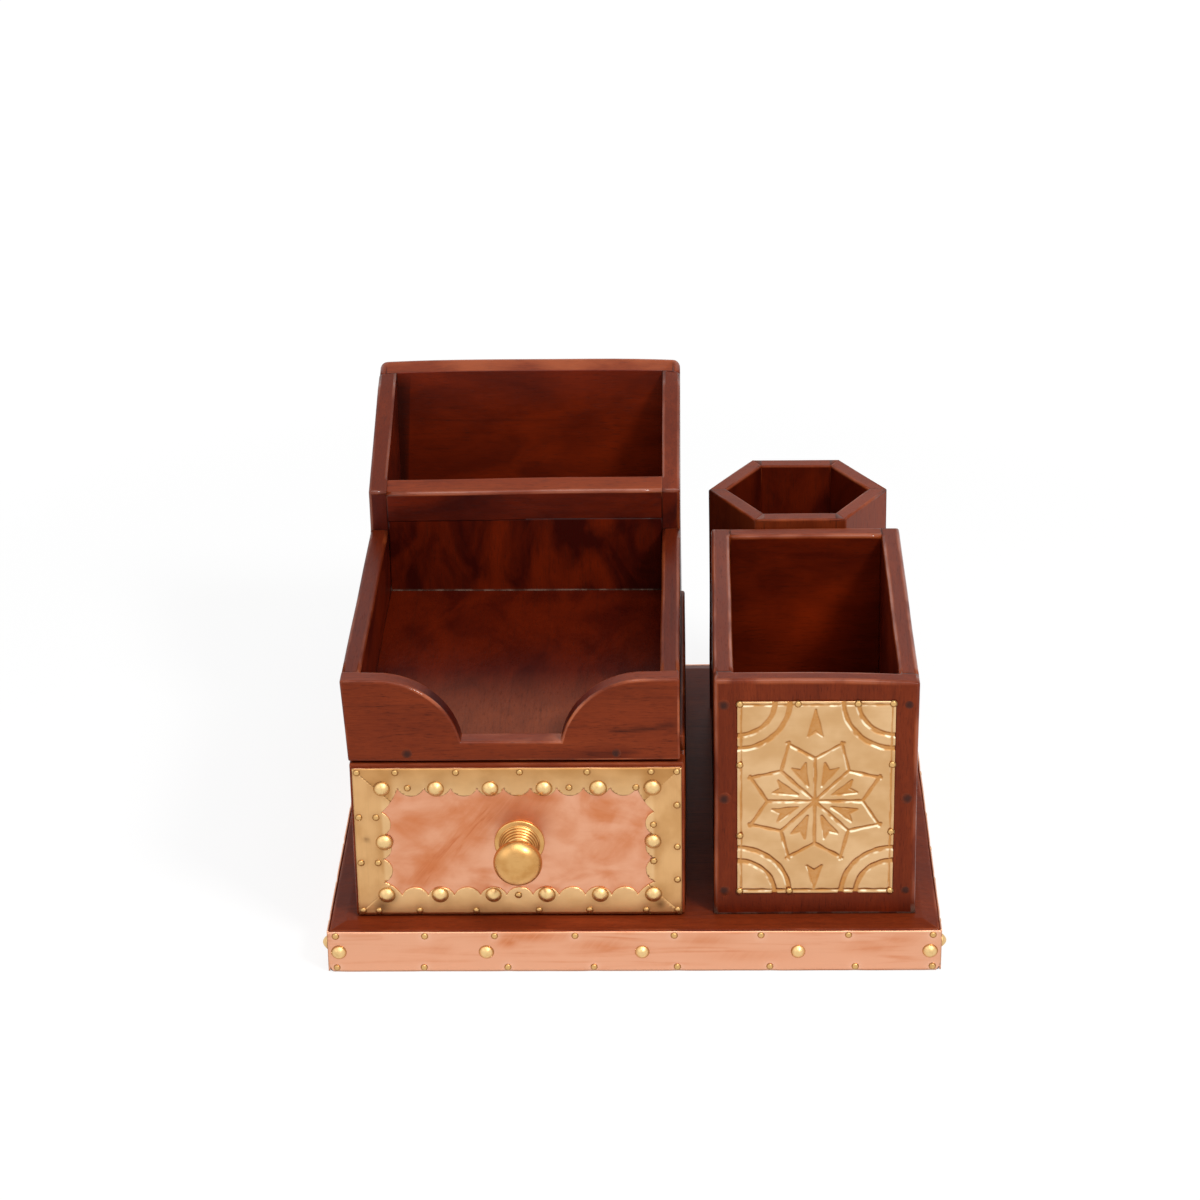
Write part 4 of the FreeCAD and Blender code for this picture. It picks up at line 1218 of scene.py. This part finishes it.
# Knob screw: a steel wood screw with a slotted pan head, driven through the drawer front from inside.
screw_low, screw_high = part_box("knob_screw")
screw_radius = (screw_high.x - screw_low.x) / 2
screw_rise = 2.2 * mm
slot_width = 0.9 * mm
slot_depth = 1.0 * mm
screw_tip = Vector(((screw_low.x + screw_high.x) / 2, screw_high.y, (screw_low.z + screw_high.z) / 2))
screw = bmesh.new()
nail_head(screw, screw_tip, Vector((0, 1, 0)), screw_radius, screw_rise, 5, 24)
bmesh.ops.remove_doubles(screw, verts=screw.verts, dist=0.002 * mm)
bmesh.ops.recalc_face_normals(screw, faces=screw.faces)
for sign in (-1, 1):
    wall = screw_tip + Vector((0, 0, sign * slot_width / 2))
    divide(screw, wall, upward)
slot_faces = [face for face in screw.faces
              if abs(face.calc_center_median().z - screw_tip.z) < slot_width / 2 and face.normal.y > 0.1]
sunk = bmesh.ops.extrude_face_region(screw, geom=slot_faces)["geom"]
bmesh.ops.delete(screw, geom=slot_faces, context="FACES_ONLY")
for vert in verts_of(sunk):
    vert.co.y = min(vert.co.y, screw_tip.y - slot_depth)
bmesh.ops.recalc_face_normals(screw, faces=screw.faces)


def worn_steel(name):
    """Grey screw steel with faint rust."""
    material, surface, grain = finish(name, "x")
    rust = streaks(grain, 1.4, 1.4, 3).step(0.5, 0.75)
    scratch = streaks(grain, 3, 0.2, 2)
    sockets = {
        "Base Color": (rust * 0.6).mix(shade(176, 172, 166), shade(112, 74, 52)),
        "Metallic": 1.0,
        "Roughness": rust * 0.3 + scratch * 0.1 + 0.28,
        "Normal": bumped(grain, scratch, 0.2, 0.05 * mm),
    }
    grain.feed(surface, sockets)
    return material


piece("knob_screw_steel", screw, "drawer", worn_steel("screw_steel"), "steel", "knob_screw")

# Studio: a wide white floor under the organizer, a small bright light at the upper right and front,
# a broad soft one overhead, a weak one at the left, and white all round for what shines.
floor_reach = 4.0


def pale_light(tree, strength):
    """1 for rays that see the background itself, straight or mirrored, and less for the light it gives."""
    ray = Tone(tree).node("ShaderNodeLightPath", {}, {}, "Is Camera Ray")
    lights = ray.socket.node.outputs
    seen = ray + Tone(tree, lights["Is Glossy Ray"]) + Tone(tree, lights["Is Transmission Ray"])
    return seen.step(0, 1) * (1 - strength) + strength


floor_shape = bmesh.new()
bmesh.ops.create_grid(floor_shape, x_segments=1, y_segments=1, size=floor_reach)
floor_mesh = bpy.data.meshes.new("studio_floor")
floor_shape.to_mesh(floor_mesh)
floor_shape.free()
studio_floor = bpy.data.objects.new("studio_floor", floor_mesh)
bpy.context.scene.collection.objects.link(studio_floor)
paper = bpy.data.materials.new("floor_paper")
paper.use_nodes = True
paper_tree = paper.node_tree
paper_tree.nodes.clear()
floor_place = Tone(paper_tree).node("ShaderNodeTexCoord", {}, {}, "Object")
far_off = floor_place.node("ShaderNodeVectorMath", {"operation": "LENGTH"}, {0: floor_place}, "Value")
glow_share = pale_light(paper_tree, 0.0) * (far_off.step(0.3, 0.7) * 0.17 + 0.78)
plain = glow_share.node("ShaderNodeBsdfDiffuse", {}, {"Color": (0.86, 0.86, 0.86, 1)})
bright = glow_share.node("ShaderNodeEmission", {}, {"Color": (1, 1, 1, 1), "Strength": 1.08})
both = glow_share.node("ShaderNodeMixShader", {}, {0: glow_share, 1: plain, 2: bright})
output = paper_tree.nodes.new("ShaderNodeOutputMaterial")
paper_tree.links.new(both.socket, output.inputs["Surface"])
floor_mesh.materials.append(paper)

world = bpy.data.worlds.new("studio_white")
bpy.context.scene.world = world
world.use_nodes = True
world_strength = pale_light(world.node_tree, 0.39)
white = {"Color": (1, 1, 1, 1), "Strength": world_strength}
world_strength.feed(world.node_tree.nodes["Background"], white)

soft_lights = {
    "key_softbox": (Vector((0.62, -0.72, 1.02)), 0.26, 8.2),
    "top_softbox": (Vector((0.05, -0.45, 1.25)), 0.8, 5.0),
    "fill_softbox": (Vector((-0.95, -0.65, 0.7)), 0.8, 1.5),
}
light_aim = Vector((0, 0, 0.06))
for name, (place, size, power) in soft_lights.items():
    lamp = bpy.data.lights.new(name, "AREA")
    lamp.shape = "SQUARE"
    lamp.size = size
    lamp.energy = power
    softbox = bpy.data.objects.new(name, lamp)
    softbox.location = place
    softbox.rotation_euler = (light_aim - place).to_track_quat("-Z", "Y").to_euler()
    bpy.context.scene.collection.objects.link(softbox)

# Camera: a long lens, a little above the organizer and in front of it.
camera_eye = Vector((21.219, -1090.549, 589.538)) * mm
camera_pitch = math.radians(24.635)
camera_yaw = math.radians(-1.753)
camera_roll = math.radians(-1.056)
lens = bpy.data.cameras.new("camera")
lens.lens = 103.394
lens.sensor_width = 36.0
lens.clip_start = 0.01
lens.clip_end = 50
camera = bpy.data.objects.new("camera", lens)
bpy.context.scene.collection.objects.link(camera)
camera.matrix_world = (
    Matrix.Translation(camera_eye)
    @ Matrix.Rotation(-camera_yaw, 4, "Z")
    @ Matrix.Rotation(math.pi / 2 - camera_pitch, 4, "X")
    @ Matrix.Rotation(camera_roll, 4, "Z")
)
bpy.context.scene.camera = camera
bpy.context.scene.view_settings.view_transform = "Standard"
